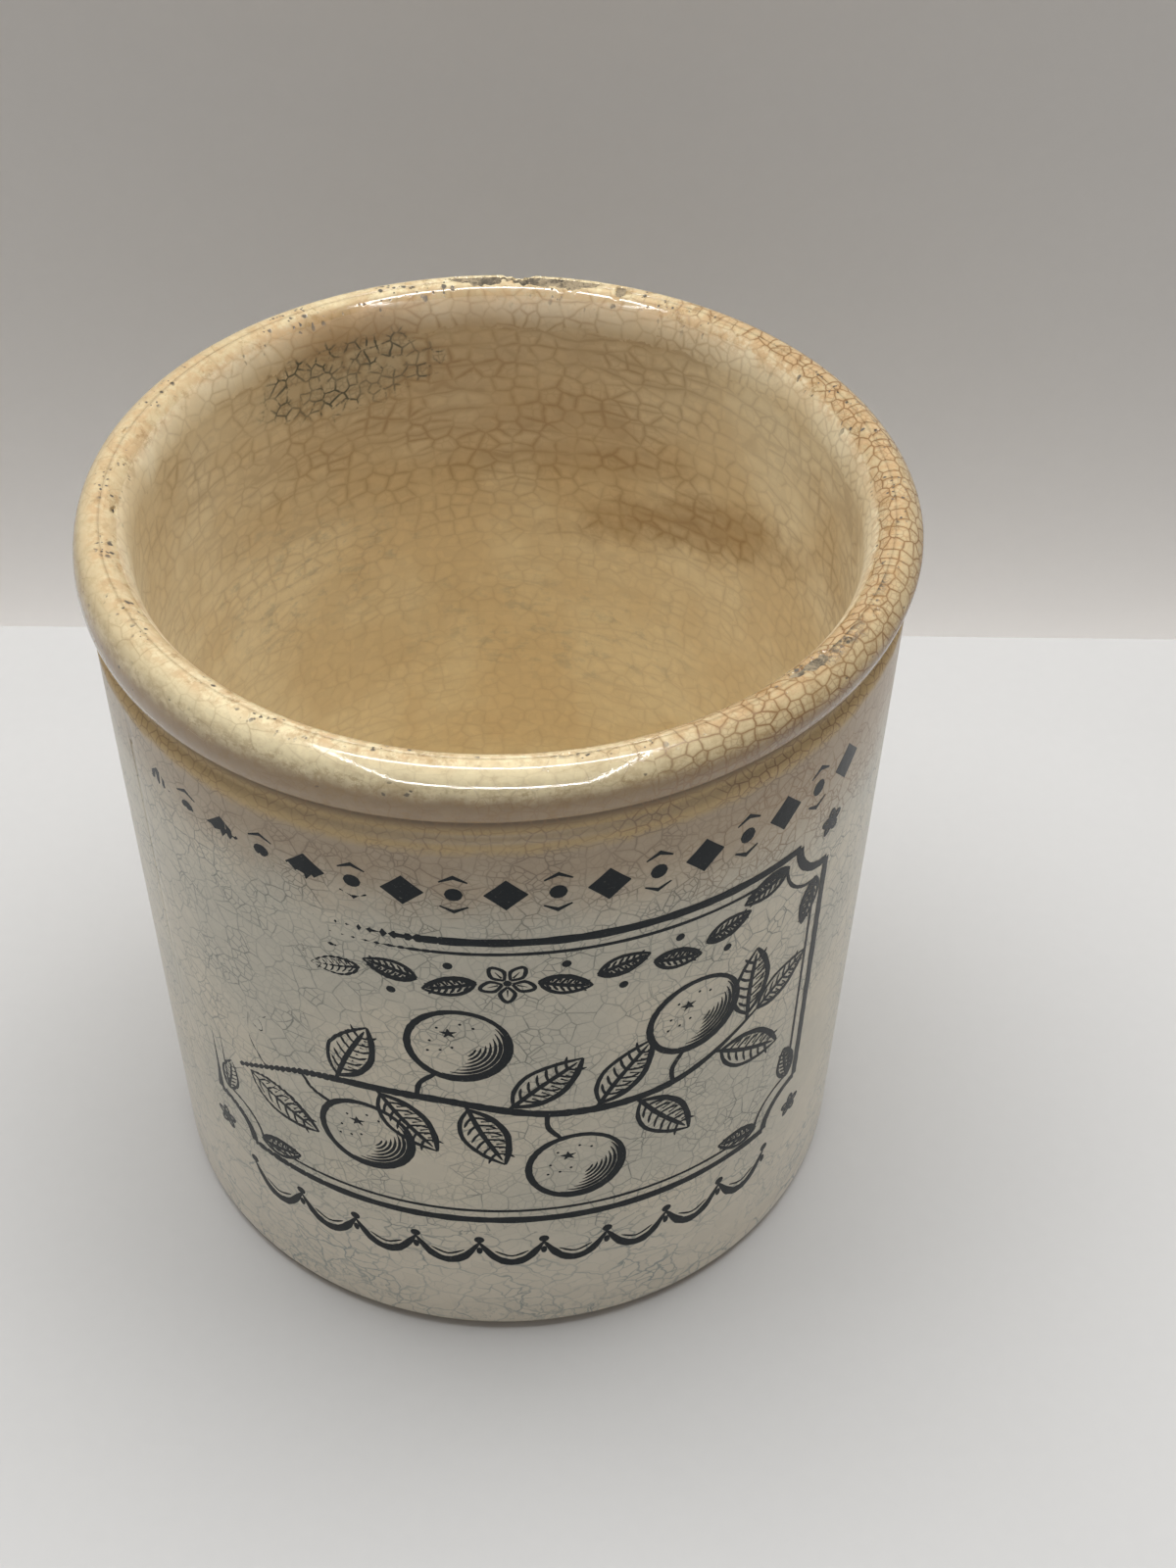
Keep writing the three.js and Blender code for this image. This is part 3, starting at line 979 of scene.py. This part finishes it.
class POT_OT_glaze_coats(bpy.types.Operator):
    """Turn the three coats of glaze that lie on the clay: outside, inside and in the recess"""

    bl_idname = "pot.glaze_coats"
    bl_label = "Glaze Coats"

    def execute(self, context):
        sizes, colours = context.scene.pot_sizes, context.scene.pot_colours
        section = PotSection(sizes)
        end = len(section.clay) - 1
        outside = turned("outside_glaze", section.coat(section.glaze_start, section.crest), sizes.steps_round)
        unlevel(outside, sizes)
        dress(outside, outer_glaze_material(colours, sizes), "cream_glaze", "outer_glaze")
        inside = turned("inside_glaze", section.coat(section.crest, end), sizes.steps_round)
        dress(inside, inner_glaze_material(colours, sizes), "stained_glaze", "inner_glaze")
        underside = turned("underside_glaze", section.coat(0, section.ring_start - 1), sizes.steps_round)
        dress(underside, base_glaze_material(colours), "cream_glaze", "base_glaze")
        return {"FINISHED"}


# Wear on the rim: the angle from the front in degrees, the radius and height of its middle, then its
# half length round the rim, half width across it and half depth, in millimetres. The broken faces have a
# grain of so many millimetres, and are rough by a share of the chip's smaller half size.
CHIP_GRAIN, CHIP_ROUGHNESS = 0.9, 0.9
CHIPS = {
    "flake_left": (-177.9, 51.0, 112.10, 3.2, 2.0, 0.95),
    "flake_left_end": (-174.6, 51.2, 112.10, 1.9, 1.3, 0.70),
    "flake_dip": (176.4, 52.4, 112.25, 2.4, 3.0, 1.95),
    "flake_middle": (172.2, 50.9, 112.10, 2.9, 2.1, 1.00),
    "flake_right": (168.2, 50.9, 112.10, 2.8, 2.1, 1.05),
    "flake_right_end": (164.9, 51.2, 112.05, 1.8, 1.4, 0.70),
    "notch": (159.4, 50.4, 112.05, 0.9, 3.0, 0.80),
    "rough_chip": (46.9, 49.9, 112.05, 2.6, 1.45, 0.85),
    "rough_chip_end": (43.4, 49.6, 111.95, 1.7, 1.0, 0.65),
    "pit_right": (53.1, 51.1, 112.05, 0.7, 0.45, 0.40),
    "pit_far_right": (60.7, 51.7, 111.95, 0.6, 0.5, 0.40),
    "pit_back_right": (103.5, 51.2, 112.05, 0.5, 0.45, 0.40),
    "pit_left": (-87.8, 48.5, 110.95, 0.8, 0.4, 0.40),
    "pit_back_left": (-106.0, 50.6, 112.05, 0.7, 0.3, 0.35),
    "pit_front_left": (-23.2, 47.5, 109.7, 0.9, 0.35, 0.40),
    "pit_front": (8.3, 49.9, 112.0, 0.9, 0.5, 0.40),
    "pit_wall": (-61.1, 52.75, 92.8, 0.45, 0.35, 0.45),
}


class POT_OT_rim_chips(bpy.types.Operator):
    """Break the worn places out of the rim, through the glaze and into the clay"""

    bl_idname = "pot.rim_chips"
    bl_label = "Rim Chips"

    def execute(self, context):
        grain = bpy.data.textures.new("Chip Grain", "CLOUDS")
        grain.noise_scale = CHIP_GRAIN * MM
        cutters = []
        for name, (angle, radius, height, half_length, half_width, half_depth) in CHIPS.items():
            turn = math.radians(angle)
            bpy.ops.object.select_all(action="DESELECT")
            bpy.ops.mesh.primitive_ico_sphere_add(subdivisions=5, radius=MM, location=(0, 0, 0))
            cutter = name_new(name)
            bpy.ops.transform.resize(value=(half_length, half_width, half_depth))
            place = Vector((math.sin(turn) * radius, -math.cos(turn) * radius, height)) * MM
            cutter.matrix_world = Matrix.Translation(place) @ Matrix.Rotation(turn, 4, "Z") @ cutter.matrix_world
            bpy.ops.object.transform_apply(location=True, rotation=True, scale=True)
            bpy.ops.object.modifier_add(type="DISPLACE")
            roughen = cutter.modifiers[-1]
            roughen.texture = grain
            roughen.texture_coords = "GLOBAL"
            roughen.strength = min(half_width, half_depth) * CHIP_ROUGHNESS * MM
            roughen.mid_level = 0.5
            bpy.ops.object.modifier_apply(modifier=roughen.name)
            cutters.append(cutter)
        for piece_name in ("fired_clay", "outside_glaze", "inside_glaze"):
            piece = bpy.data.objects[piece_name]
            for cutter in cutters:
                select_only(piece)
                bpy.ops.object.modifier_add(type="BOOLEAN")
                cut = piece.modifiers[-1]
                cut.operation, cut.solver, cut.object = "DIFFERENCE", "EXACT", cutter
                bpy.ops.object.modifier_apply(modifier=cut.name)
        for cutter in cutters:
            bpy.data.objects.remove(cutter)
        return {"FINISHED"}


# The print. Its drawing is flat, in millimetres: across from the middle of the front, and up from the table.

def smooth(points, spacing=0.7):
    """A smooth run through the points, at about even spacing."""
    run = []
    padded = [points[0], *points, points[-1]]
    for before, a, b, after in zip(padded, padded[1:], padded[2:], padded[3:]):
        steps = max(2, round((Vector(b) - Vector(a)).length / spacing))
        for i in range(steps):
            t = i / steps
            run.append(
                [
                    0.5 * (2 * q + (r - p) * t + (2 * p - 5 * q + 4 * r - s) * t * t + (3 * q - p - 3 * r + s) * t**3)
                    for p, q, r, s in zip(before, a, b, after)
                ]
            )
    run.append(list(points[-1]))
    return run


def ring(x, y, radius, start=0, end=360):
    """Points round a circle, or round part of one."""
    steps = max(6, round(abs(end - start) / 360 * radius * 2 * math.pi / 0.6))
    angles = [math.radians(start + (end - start) * i / steps) for i in range(steps + 1)]
    return [(x + radius * math.cos(a), y + radius * math.sin(a)) for a in angles]


def along(points, share):
    """The place and the heading at a share of a run's points."""
    i = min(int(share * (len(points) - 1)), len(points) - 2)
    (ax, ay), (bx, by) = points[i], points[i + 1]
    return ax, ay, math.atan2(by - ay, bx - ax)


class Drawing:
    """Strokes of the flat print, each a run of points with a width at every point."""

    def __init__(self):
        self.strokes = []
        self.hand = random.Random(7)

    def stroke(self, points, width, start=0.35, end=0.35, swell=0.0):
        """A line that narrows to a share of its width at each end, and swells in its middle."""
        last = max(1, len(points) - 1)
        widths = []
        for i in range(len(points)):
            t = i / last
            taper = min(1.0, start + t * 5 * (1 - start), end + (1 - t) * 5 * (1 - end))
            widths.append(width * (taper + swell * math.sin(math.pi * t)) * self.hand.uniform(0.9, 1.1))
        self.strokes.append((points, widths))

    def spot(self, x, y, across, up=None, turn=0.0):
        """A filled lozenge or bead."""
        up = up or across
        shares = (-1.0, -0.8, -0.45, 0.0, 0.45, 0.8, 1.0)
        widths = [up * math.sqrt(max(0.004, 1 - s * s)) for s in shares]
        points = [(x + s * across / 2 * math.cos(turn), y + s * across / 2 * math.sin(turn)) for s in shares]
        self.strokes.append((points, widths))

    def diamond(self, x, y, across, up):
        shares = (-1.0, -0.5, 0.0, 0.5, 1.0)
        self.strokes.append(([(x + s * across / 2, y) for s in shares], [up * max(0.03, 1 - abs(s)) for s in shares]))

    def placed(self, motif, x, y, turn=0.0, size=1.0, mirrored=False):
        """Copies another drawing's strokes to a place."""
        c, s = math.cos(math.radians(turn)), math.sin(math.radians(turn))
        flip = -1 if mirrored else 1
        for points, widths in motif.strokes:
            moved = [(x + size * (px * c - flip * py * s), y + size * (px * s + flip * py * c)) for px, py in points]
            self.strokes.append((moved, [w * (0.4 + 0.6 * size) for w in widths]))


def leaf_motif(long, wide):
    """A pointed evergreen leaf lying along +X, with its veins and engraved shade."""
    leaf = Drawing()
    upper = [(0, 0), (long * 0.18, wide * 0.36), (long * 0.45, wide * 0.52), (long * 0.75, wide * 0.34), (long, 0)]
    lower = [(0, 0), (long * 0.2, -wide * 0.34), (long * 0.5, -wide * 0.46), (long * 0.78, -wide * 0.28), (long, 0)]
    middle = [(0, 0), (long * 0.4, wide * 0.05), (long * 0.92, 0)]
    leaf.stroke(smooth(upper), 0.7, 0.6, 0.4)
    leaf.stroke(smooth(lower), 0.95, 0.6, 0.4)
    leaf.stroke(smooth(middle), 0.75, 1.0, 0.2)
    for i in range(6):
        at = long * (0.14 + 0.13 * i)
        reach = wide * (0.30 + 0.12 * math.sin(math.pi * (i + 1) / 7))
        for side in (1, -1):
            tip = (at + long * 0.13, side * reach * (0.95 if side > 0 else 0.85))
            leaf.stroke(smooth([(at, wide * 0.03), (at + long * 0.05, side * reach * 0.55), tip]), 0.42, 1.0, 0.3)
    for i in range(11):
        at = long * (0.16 + 0.068 * i)
        reach = wide * 0.42 * math.sin(math.pi * (0.16 + 0.068 * i)) ** 0.8
        leaf.stroke([(at, -wide * 0.10), (at + long * 0.035, -reach)], 0.34, 1.0, 0.4)
    return leaf


def orange_motif(radius):
    """A round fruit with its calyx, shaded by engraved arcs on its lower right."""
    fruit = Drawing()
    fruit.stroke(ring(0, 0, radius, 40, 400), 0.75, 0.9, 0.9, 0.4)
    for i in range(7):
        inner = radius * (0.91 - 0.095 * i)
        start = -112 + 9 * i
        fruit.stroke(ring(0, 0, inner, start, 38 - 8 * i), 0.58 - 0.04 * i, 0.2, 0.2)
    for i in range(5):
        a = math.radians(96 + 72 * i)
        tip = (-radius * 0.18 + 1.15 * math.cos(a), radius * 0.36 + 0.9 * math.sin(a))
        fruit.stroke([(-radius * 0.18, radius * 0.36), tip], 0.75, 1.0, 0.15)
    for x, y in ((-0.55, 0.1), (-0.35, -0.15), (-0.6, -0.2), (-0.12, -0.05), (-0.4, 0.5), (0.05, 0.65), (0.3, 0.55)):
        fruit.spot(x * radius, y * radius, 0.42)
    return fruit


def blossom_motif(size):
    """A five-petalled flower seen from the front."""
    flower = Drawing()
    for i in range(5):
        a = math.radians(90 + 72 * i)
        c, s = math.cos(a), math.sin(a)
        petal = [(0.25, 0.0), (0.7, 0.34), (1.15, 0.2), (1.3, 0.0), (1.15, -0.2), (0.7, -0.34), (0.25, 0.0)]
        turned_petal = [(size * (x * c - y * s), size * (x * s + y * c)) for x, y in petal]
        flower.stroke(smooth(turned_petal, 0.5), 0.6, 0.7, 0.7)
        flower.stroke([(size * 0.45 * c, size * 0.45 * s), (size * 0.95 * c, size * 0.95 * s)], 0.3, 1.0, 0.3)
    flower.spot(0, 0, size * 0.4)
    return flower


def print_drawing():
    """A framed orange branch, with a row of lozenges above and a festoon border below."""
    art = Drawing()
    half, low, high, notch = 47.0, 27.0, 84.0, 6.5

    def frame_line(inset, width):
        h, b, t, c = half - inset, low + inset, high - inset, notch
        for side in (1, -1):
            art.stroke([(side * h, y) for y in spaced(b + c, t - c)], width, 1, 1)
            corner_low = ring(side * h, b, c, 90, 180 if side > 0 else 0)
            corner_high = ring(side * h, t, c, 270, 180 if side > 0 else 360)
            art.stroke(corner_low, width, 1, 1)
            art.stroke(corner_high, width, 1, 1)
        art.stroke([(x, b) for x in spaced(-h + c, h - c)], width, 1, 1)
        art.stroke([(x, t) for x in spaced(-h + c, h - c)], width, 1, 1)

    def spaced(a, b):
        steps = max(2, round(abs(b - a) / 1.5))
        return [a + (b - a) * i / steps for i in range(steps + 1)]

    frame_line(0.0, 1.35)
    frame_line(2.1, 0.55)
    for side in (1, -1):
        for y in (low, high):
            art.placed(blossom_motif(1.5), side * half, y)

    # The branch: what grows at each step along the stem, by turns below and above it
    leaf, orange, blossom = leaf_motif(12.6, 6.0), orange_motif(6.6), blossom_motif(3.0)
    stem = smooth([(-41, 44), (-27, 51.5), (-10, 53), (7, 50), (23, 51), (36, 57.5)])
    art.stroke(stem, 1.4, 1.0, 0.3)
    grows = ("leaf", "blossom", "orange", *("leaf", "leaf", "orange") * 3, "leaf", "leaf")
    for i, kind in enumerate(grows):
        x, y, heading = along(stem, 0.03 + 0.93 * i / (len(grows) - 1))
        side = 1 if i % 2 else -1
        lean = heading + side * math.radians({"leaf": 57, "orange": 64, "blossom": 70}[kind])
        reach = {"leaf": 1.2, "orange": 12.6, "blossom": 11.0}[kind]
        tip = (x + reach * math.cos(lean), y + reach * math.sin(lean))
        if kind == "leaf":
            art.placed(leaf, *tip, math.degrees(lean), 1.0, side < 0)
            art.stroke([(x, y), tip], 0.6, 1.0, 1.0)
            continue
        short = reach - (6.7 if kind == "orange" else 0.8)
        bow = (x + 0.5 * short * math.cos(lean + side * 0.3), y + 0.5 * short * math.sin(lean + side * 0.3))
        art.stroke(smooth([(x, y), bow, (x + short * math.cos(lean), y + short * math.sin(lean))]), 0.75, 1.0, 0.6)
        art.placed(orange if kind == "orange" else blossom, *tip)
    x, y, heading = along(stem, 1.0)
    art.placed(leaf, x, y, math.degrees(heading), 0.8)

    # A garland under the frame's upper edge, and sprigs in its corners
    sprig, garland = leaf_motif(8.5, 3.8), 76.6
    art.placed(blossom, 0, garland, 36, 0.9)
    for side in (1, -1):
        for i in range(4):
            x, up = side * (3.8 + 7.3 * i), 1 if i % 2 else -1
            art.placed(sprig, x, garland, 90 - side * 90 + side * up * 15, 0.82, side * up < 0)
            art.spot(x + side * 3.4, garland - up * 2.9, 1.25)
    for side in (1, -1):
        for y, up in ((high, -1), (low, 1)):
            for turn in (14, 76):
                heading = turn * up if side < 0 else 180 - turn * up
                c, s = math.cos(math.radians(heading)), math.sin(math.radians(heading))
                art.placed(sprig, side * half + 8.6 * c, y + 8.6 * s, heading, 0.9, side < 0)

    # Lozenges and beads above the frame
    for i in range(-8, 9):
        x = i * 6.1
        if i % 2 == 0:
            art.diamond(x, 92.4, 5.2, 5.2)
        else:
            art.spot(x, 92.4, 2.2)
            art.stroke([(x - 1.7, 94.5), (x, 95.4), (x + 1.7, 94.5)], 0.7)
            art.stroke([(x - 1.7, 90.3), (x, 89.4), (x + 1.7, 90.3)], 0.7)
    # Festoon below it, each swag hung from half its width to both sides
    wide, half_wide, top, drop = 9.2, 4.6, 21.5, 4.6
    hung = ((-half_wide, 0.0), (-2.4, 0.75), (0.0, 1.0), (2.4, 0.75), (half_wide, 0.0))
    for i in range(-4, 5):
        x = i * wide
        swag = [(x + across, top - drop * share) for across, share in hung]
        art.stroke(smooth(swag), 0.75, 0.4, 0.4, 1.0)
        art.stroke(smooth([(px, py + 1.5) for px, py in swag[1:-1]]), 0.4, 0.4, 0.4)
        art.spot(x + half_wide, 22.2, 1.5)
        art.spot(x + half_wide, 19.6, 0.9, 1.6)
    art.spot(-4 * wide - half_wide, 22.2, 1.5)
    return art


class POT_OT_front_print(bpy.types.Operator):
    """Draw the transfer print flat, and lay it round the front of the wall"""

    bl_idname = "pot.front_print"
    bl_label = "Front Print"

    def execute(self, context):
        sizes = context.scene.pot_sizes
        bpy.ops.object.select_all(action="DESELECT")
        bpy.ops.curve.primitive_bezier_curve_add(location=(0, 0, 0))
        piece = name_new("front_print")
        curve = piece.data
        curve.splines.clear()
        curve.bevel_depth, curve.bevel_resolution, curve.use_fill_caps = MM, 0, True
        curve.twist_mode = "Z_UP"
        for points, widths in print_drawing().strokes:
            spline = curve.splines.new("POLY")
            spline.points.add(len(points) - 1)
            for point, (x, y), width in zip(spline.points, points, widths):
                point.co = (x * MM, y * MM, 0, 1)
                point.radius = width / 2
        bpy.ops.object.convert(target="MESH")
        piece = name_new("front_print")

        # The film lies on the coat: its edges a hair above it, its middle a hair more
        top = sizes.crest_height - sizes.rim_height - sizes.groove_height
        lift, film, middle = 0.010 * MM, 0.006 * MM, sizes.rim_radius - UNROLL_OUTSIDE * MM
        for vertex in piece.data.vertices:
            x, y, z = vertex.co
            share = (y - sizes.foot_rounding) / (top - sizes.foot_rounding)
            radius = sizes.foot_radius + (sizes.top_radius - sizes.foot_radius) * share + sizes.glaze + lift
            if abs(z) > 1e-8:
                radius += math.copysign(film, z)
            turn = x / middle
            vertex.co = (radius * math.sin(turn), -radius * math.cos(turn), y)
        bpy.ops.object.mode_set(mode="EDIT")
        bpy.ops.mesh.select_all(action="SELECT")
        bpy.ops.mesh.normals_make_consistent(inside=False)
        bpy.ops.object.mode_set(mode="OBJECT")
        bpy.ops.object.shade_flat()
        unlevel(piece, sizes)
        dress(piece, ink_material(context.scene.pot_colours), "underglaze_ink")
        return {"FINISHED"}


# The paper's gloss
MATT = {"roughness": 0.8, "specular_ior_level": 0.2}


def paper_colour(n, tint):
    """Matt paper with a faint unevenness."""
    place = n.scaled(n.add("ShaderNodeTexCoord").outputs["Object"], 1 / MM)
    fine = n.blend(n.noise(place, 2.5, 4.0), 0.985, 1.015)
    shade = n.product(fine, n.blend(n.noise(place, 90.0, 2.0), 0.97, 1.03))
    return n.shaded(tint, shade), place


def one_sided(n, shader, left_out=0.0):
    """The shader on the front of a plane, and nothing on its back or in the part left out."""
    behind = n.most(n.add("ShaderNodeNewGeometry").outputs["Backfacing"], left_out)
    clear = n.add("ShaderNodeBsdfTransparent").outputs[0]
    n.surface(n.add("ShaderNodeMixShader", {0: behind, 1: shader, 2: clear}).outputs[0])


def table_material(tint, covered):
    """The pale table, which isn't there from below, nor under the pot, so that its underside can be seen."""
    material, n = new_material("Pale Table")
    paper, place = paper_colour(n, tint)
    under_pot = n.math("LESS_THAN", n.vector("LENGTH", place), covered)
    one_sided(n, n.shader(base_color=paper, **MATT), under_pot)
    return material


def wall_material(tint, glow):
    """The paper wall, with painted light that makes it paler towards the table as the eye and the glaze see it, and not
    there from behind.
    """
    material, n = new_material("Wall Paper")
    paper, place = paper_colour(n, tint)
    height = n.separate(place)["Z"]
    path = n.add("ShaderNodeLightPath").outputs
    seen = n.most(path["Is Camera Ray"], path["Is Glossy Ray"])
    # Painted light: an emission on the wall, seen by the eye and in the glaze, strongest at the table and halving every
    # 22 mm up
    near = n.math("POWER", 2.0, n.math("DIVIDE", height, -22.0))
    glowing = n.product(seen, near, glow)
    one_sided(n, n.shader(base_color=paper, emission_color=(*tint, 1.0), emission_strength=glowing, **MATT))
    return material


def area_lamp(name, place, across, along_it, width, depth, power, in_glaze):
    """A rectangular lamp spread over two directions. A lamp that shows in the glaze adds no other light."""
    bpy.ops.object.light_add(type="AREA")
    lamp = name_new(name)
    lamp.data.shape, lamp.data.size, lamp.data.size_y, lamp.data.energy = "RECTANGLE", width, depth, power
    across, along_it = Vector(across).normalized(), Vector(along_it).normalized()
    axes = Matrix((across, along_it, across.cross(along_it))).transposed()
    lamp.matrix_world = Matrix.Translation(place) @ axes.to_4x4()
    lamp.visible_camera = False
    lamp.visible_glossy = in_glaze
    lamp.visible_diffuse = not in_glaze


# The frame of thin lamps: its middle, its two directions, half its size along each, and the width of its strips
FRAME_MIDDLE = Vector((-0.022, -0.26, 0.42))
FRAME_ACROSS, FRAME_ALONG = Vector((1, 0, 0)), Vector((0, 0.8, 0.6))
FRAME_HALF_WIDTH, FRAME_HALF_LENGTH, STRIP_ACROSS, STRIP_ALONG = 0.195, 0.30, 0.045, 0.012

# The broad lamp: its place, its second direction, and its size along both
OVERHEAD_PLACE, OVERHEAD_ALONG, OVERHEAD_WIDTH, OVERHEAD_DEPTH = (0, 0.12, 1.0), (0, 1, -0.12), 1.3, 0.6

TABLE_SIZE, WALL_WIDTH, WALL_HEIGHT = 6, 4, 0.3

# How strong the room is in the mirror of the glaze, and to the camera
ROOM_IN_GLAZE, ROOM_SEEN = 0.22, 0.5


class POT_OT_stage(bpy.types.Operator):
    """Set the table, the wall behind it, the lamps and the camera"""

    bl_idname = "pot.stage"
    bl_label = "Stage"

    def execute(self, context):
        stage = context.scene.pot_stage
        bpy.ops.object.select_all(action="DESELECT")
        bpy.ops.mesh.primitive_plane_add(size=TABLE_SIZE, location=(0, 0, 0))
        table = name_new("table")
        sizes = context.scene.pot_sizes
        table.data.materials.append(table_material(stage.table, (sizes.foot_radius - sizes.foot_rounding) / MM))
        bpy.ops.object.select_all(action="DESELECT")
        middle = (0, stage.seam, WALL_HEIGHT / 2)
        bpy.ops.mesh.primitive_plane_add(size=1, location=middle, rotation=(math.radians(90), 0, 0))
        wall = name_new("wall")
        bpy.ops.transform.resize(value=(WALL_WIDTH, 1, WALL_HEIGHT), center_override=middle)
        bpy.ops.object.transform_apply(location=True, rotation=True, scale=True)
        turn = Matrix.Rotation(stage.seam_turn, 4, "Z")
        wall.data.transform(turn)
        wall.visible_shadow = False
        wall.data.materials.append(wall_material(stage.wall, stage.wall_glow))

        size = OVERHEAD_WIDTH, OVERHEAD_DEPTH
        area_lamp("overhead", OVERHEAD_PLACE, (1, 0, 0), OVERHEAD_ALONG, *size, stage.overhead, False)
        for side in (1, -1):
            edge = FRAME_MIDDLE + FRAME_ALONG * (side * FRAME_HALF_LENGTH)
            wide = 2 * FRAME_HALF_WIDTH
            power = stage.strips * wide * STRIP_ACROSS
            area_lamp("strip_across", edge, FRAME_ACROSS, FRAME_ALONG, wide, STRIP_ACROSS, power, True)
            edge = FRAME_MIDDLE + FRAME_ACROSS * (side * FRAME_HALF_WIDTH)
            long = 2 * FRAME_HALF_LENGTH
            power = stage.strips * long * STRIP_ALONG
            area_lamp("strip_along", edge, FRAME_ACROSS, FRAME_ALONG, STRIP_ALONG, long, power, True)

        world = context.scene.world or bpy.data.worlds.new("Room")
        context.scene.world = world
        world.use_nodes = True
        world.node_tree.nodes.clear()
        n = Nodes(world.node_tree)
        path = n.add("ShaderNodeLightPath").outputs
        lighting = n.blend(path["Is Glossy Ray"], stage.ambient, ROOM_IN_GLAZE)
        strength = n.blend(path["Is Camera Ray"], lighting, ROOM_SEEN)
        room = n.add("ShaderNodeBackground", {"Color": (1.0, 0.985, 0.965, 1.0), "Strength": strength})
        n.add("ShaderNodeOutputWorld", {"Surface": room.outputs[0]})

        bpy.ops.object.camera_add(location=CAMERA_PLACE)
        camera = name_new("camera")
        cp, sp = math.cos(CAMERA_PITCH), math.sin(CAMERA_PITCH)
        cy, sy = math.cos(CAMERA_YAW), math.sin(CAMERA_YAW)
        cr, sr = math.cos(CAMERA_ROLL), math.sin(CAMERA_ROLL)
        ahead, level = Vector((sy * cp, cy * cp, -sp)), Vector((cy, -sy, 0))
        up = level.cross(ahead)
        right, upright = cr * level + sr * up, cr * up - sr * level
        camera.matrix_world = Matrix.Translation(CAMERA_PLACE) @ Matrix((right, upright, -ahead)).transposed().to_4x4()
        camera.data.lens, camera.data.sensor_width = CAMERA_LENS, CAMERA_SENSOR
        camera.data.clip_start, camera.data.clip_end = 0.01, 20
        context.scene.camera = camera
        context.scene.view_settings.view_transform = "Standard"
        return {"FINISHED"}


OPERATORS = (POT_OT_fired_clay, POT_OT_glaze_coats, POT_OT_rim_chips, POT_OT_front_print, POT_OT_stage)


class POT_PT_maker(bpy.types.Panel):
    """Buttons for each piece, with the sizes and colours"""

    bl_idname = "POT_PT_maker"
    bl_label = "Marmalade Pot"
    bl_space_type = "VIEW_3D"
    bl_region_type = "UI"
    bl_category = "Marmalade Pot"

    def draw(self, context):
        for operator in OPERATORS:
            self.layout.operator(operator.bl_idname)
        for name, group in (("Sizes", "pot_sizes"), ("Colours", "pot_colours"), ("Stage", "pot_stage")):
            box = self.layout.box()
            box.label(text=name)
            settings = getattr(context.scene, group)
            for prop in settings.__annotations__:
                box.prop(settings, prop)


CLASSES = (PotSizes, PotColours, StageSettings, *OPERATORS, POT_PT_maker)


def register():
    for made in CLASSES:
        bpy.utils.register_class(made)
    bpy.types.Scene.pot_sizes = bpy.props.PointerProperty(type=PotSizes)
    bpy.types.Scene.pot_colours = bpy.props.PointerProperty(type=PotColours)
    bpy.types.Scene.pot_stage = bpy.props.PointerProperty(type=StageSettings)


def unregister():
    del bpy.types.Scene.pot_sizes, bpy.types.Scene.pot_colours, bpy.types.Scene.pot_stage
    for made in reversed(CLASSES):
        bpy.utils.unregister_class(made)


def main():
    register()
    bpy.ops.pot.fired_clay()
    bpy.ops.pot.glaze_coats()
    bpy.ops.pot.rim_chips()
    bpy.ops.pot.front_print()
    bpy.ops.pot.stage()


if __name__ == "__main__":
    main()
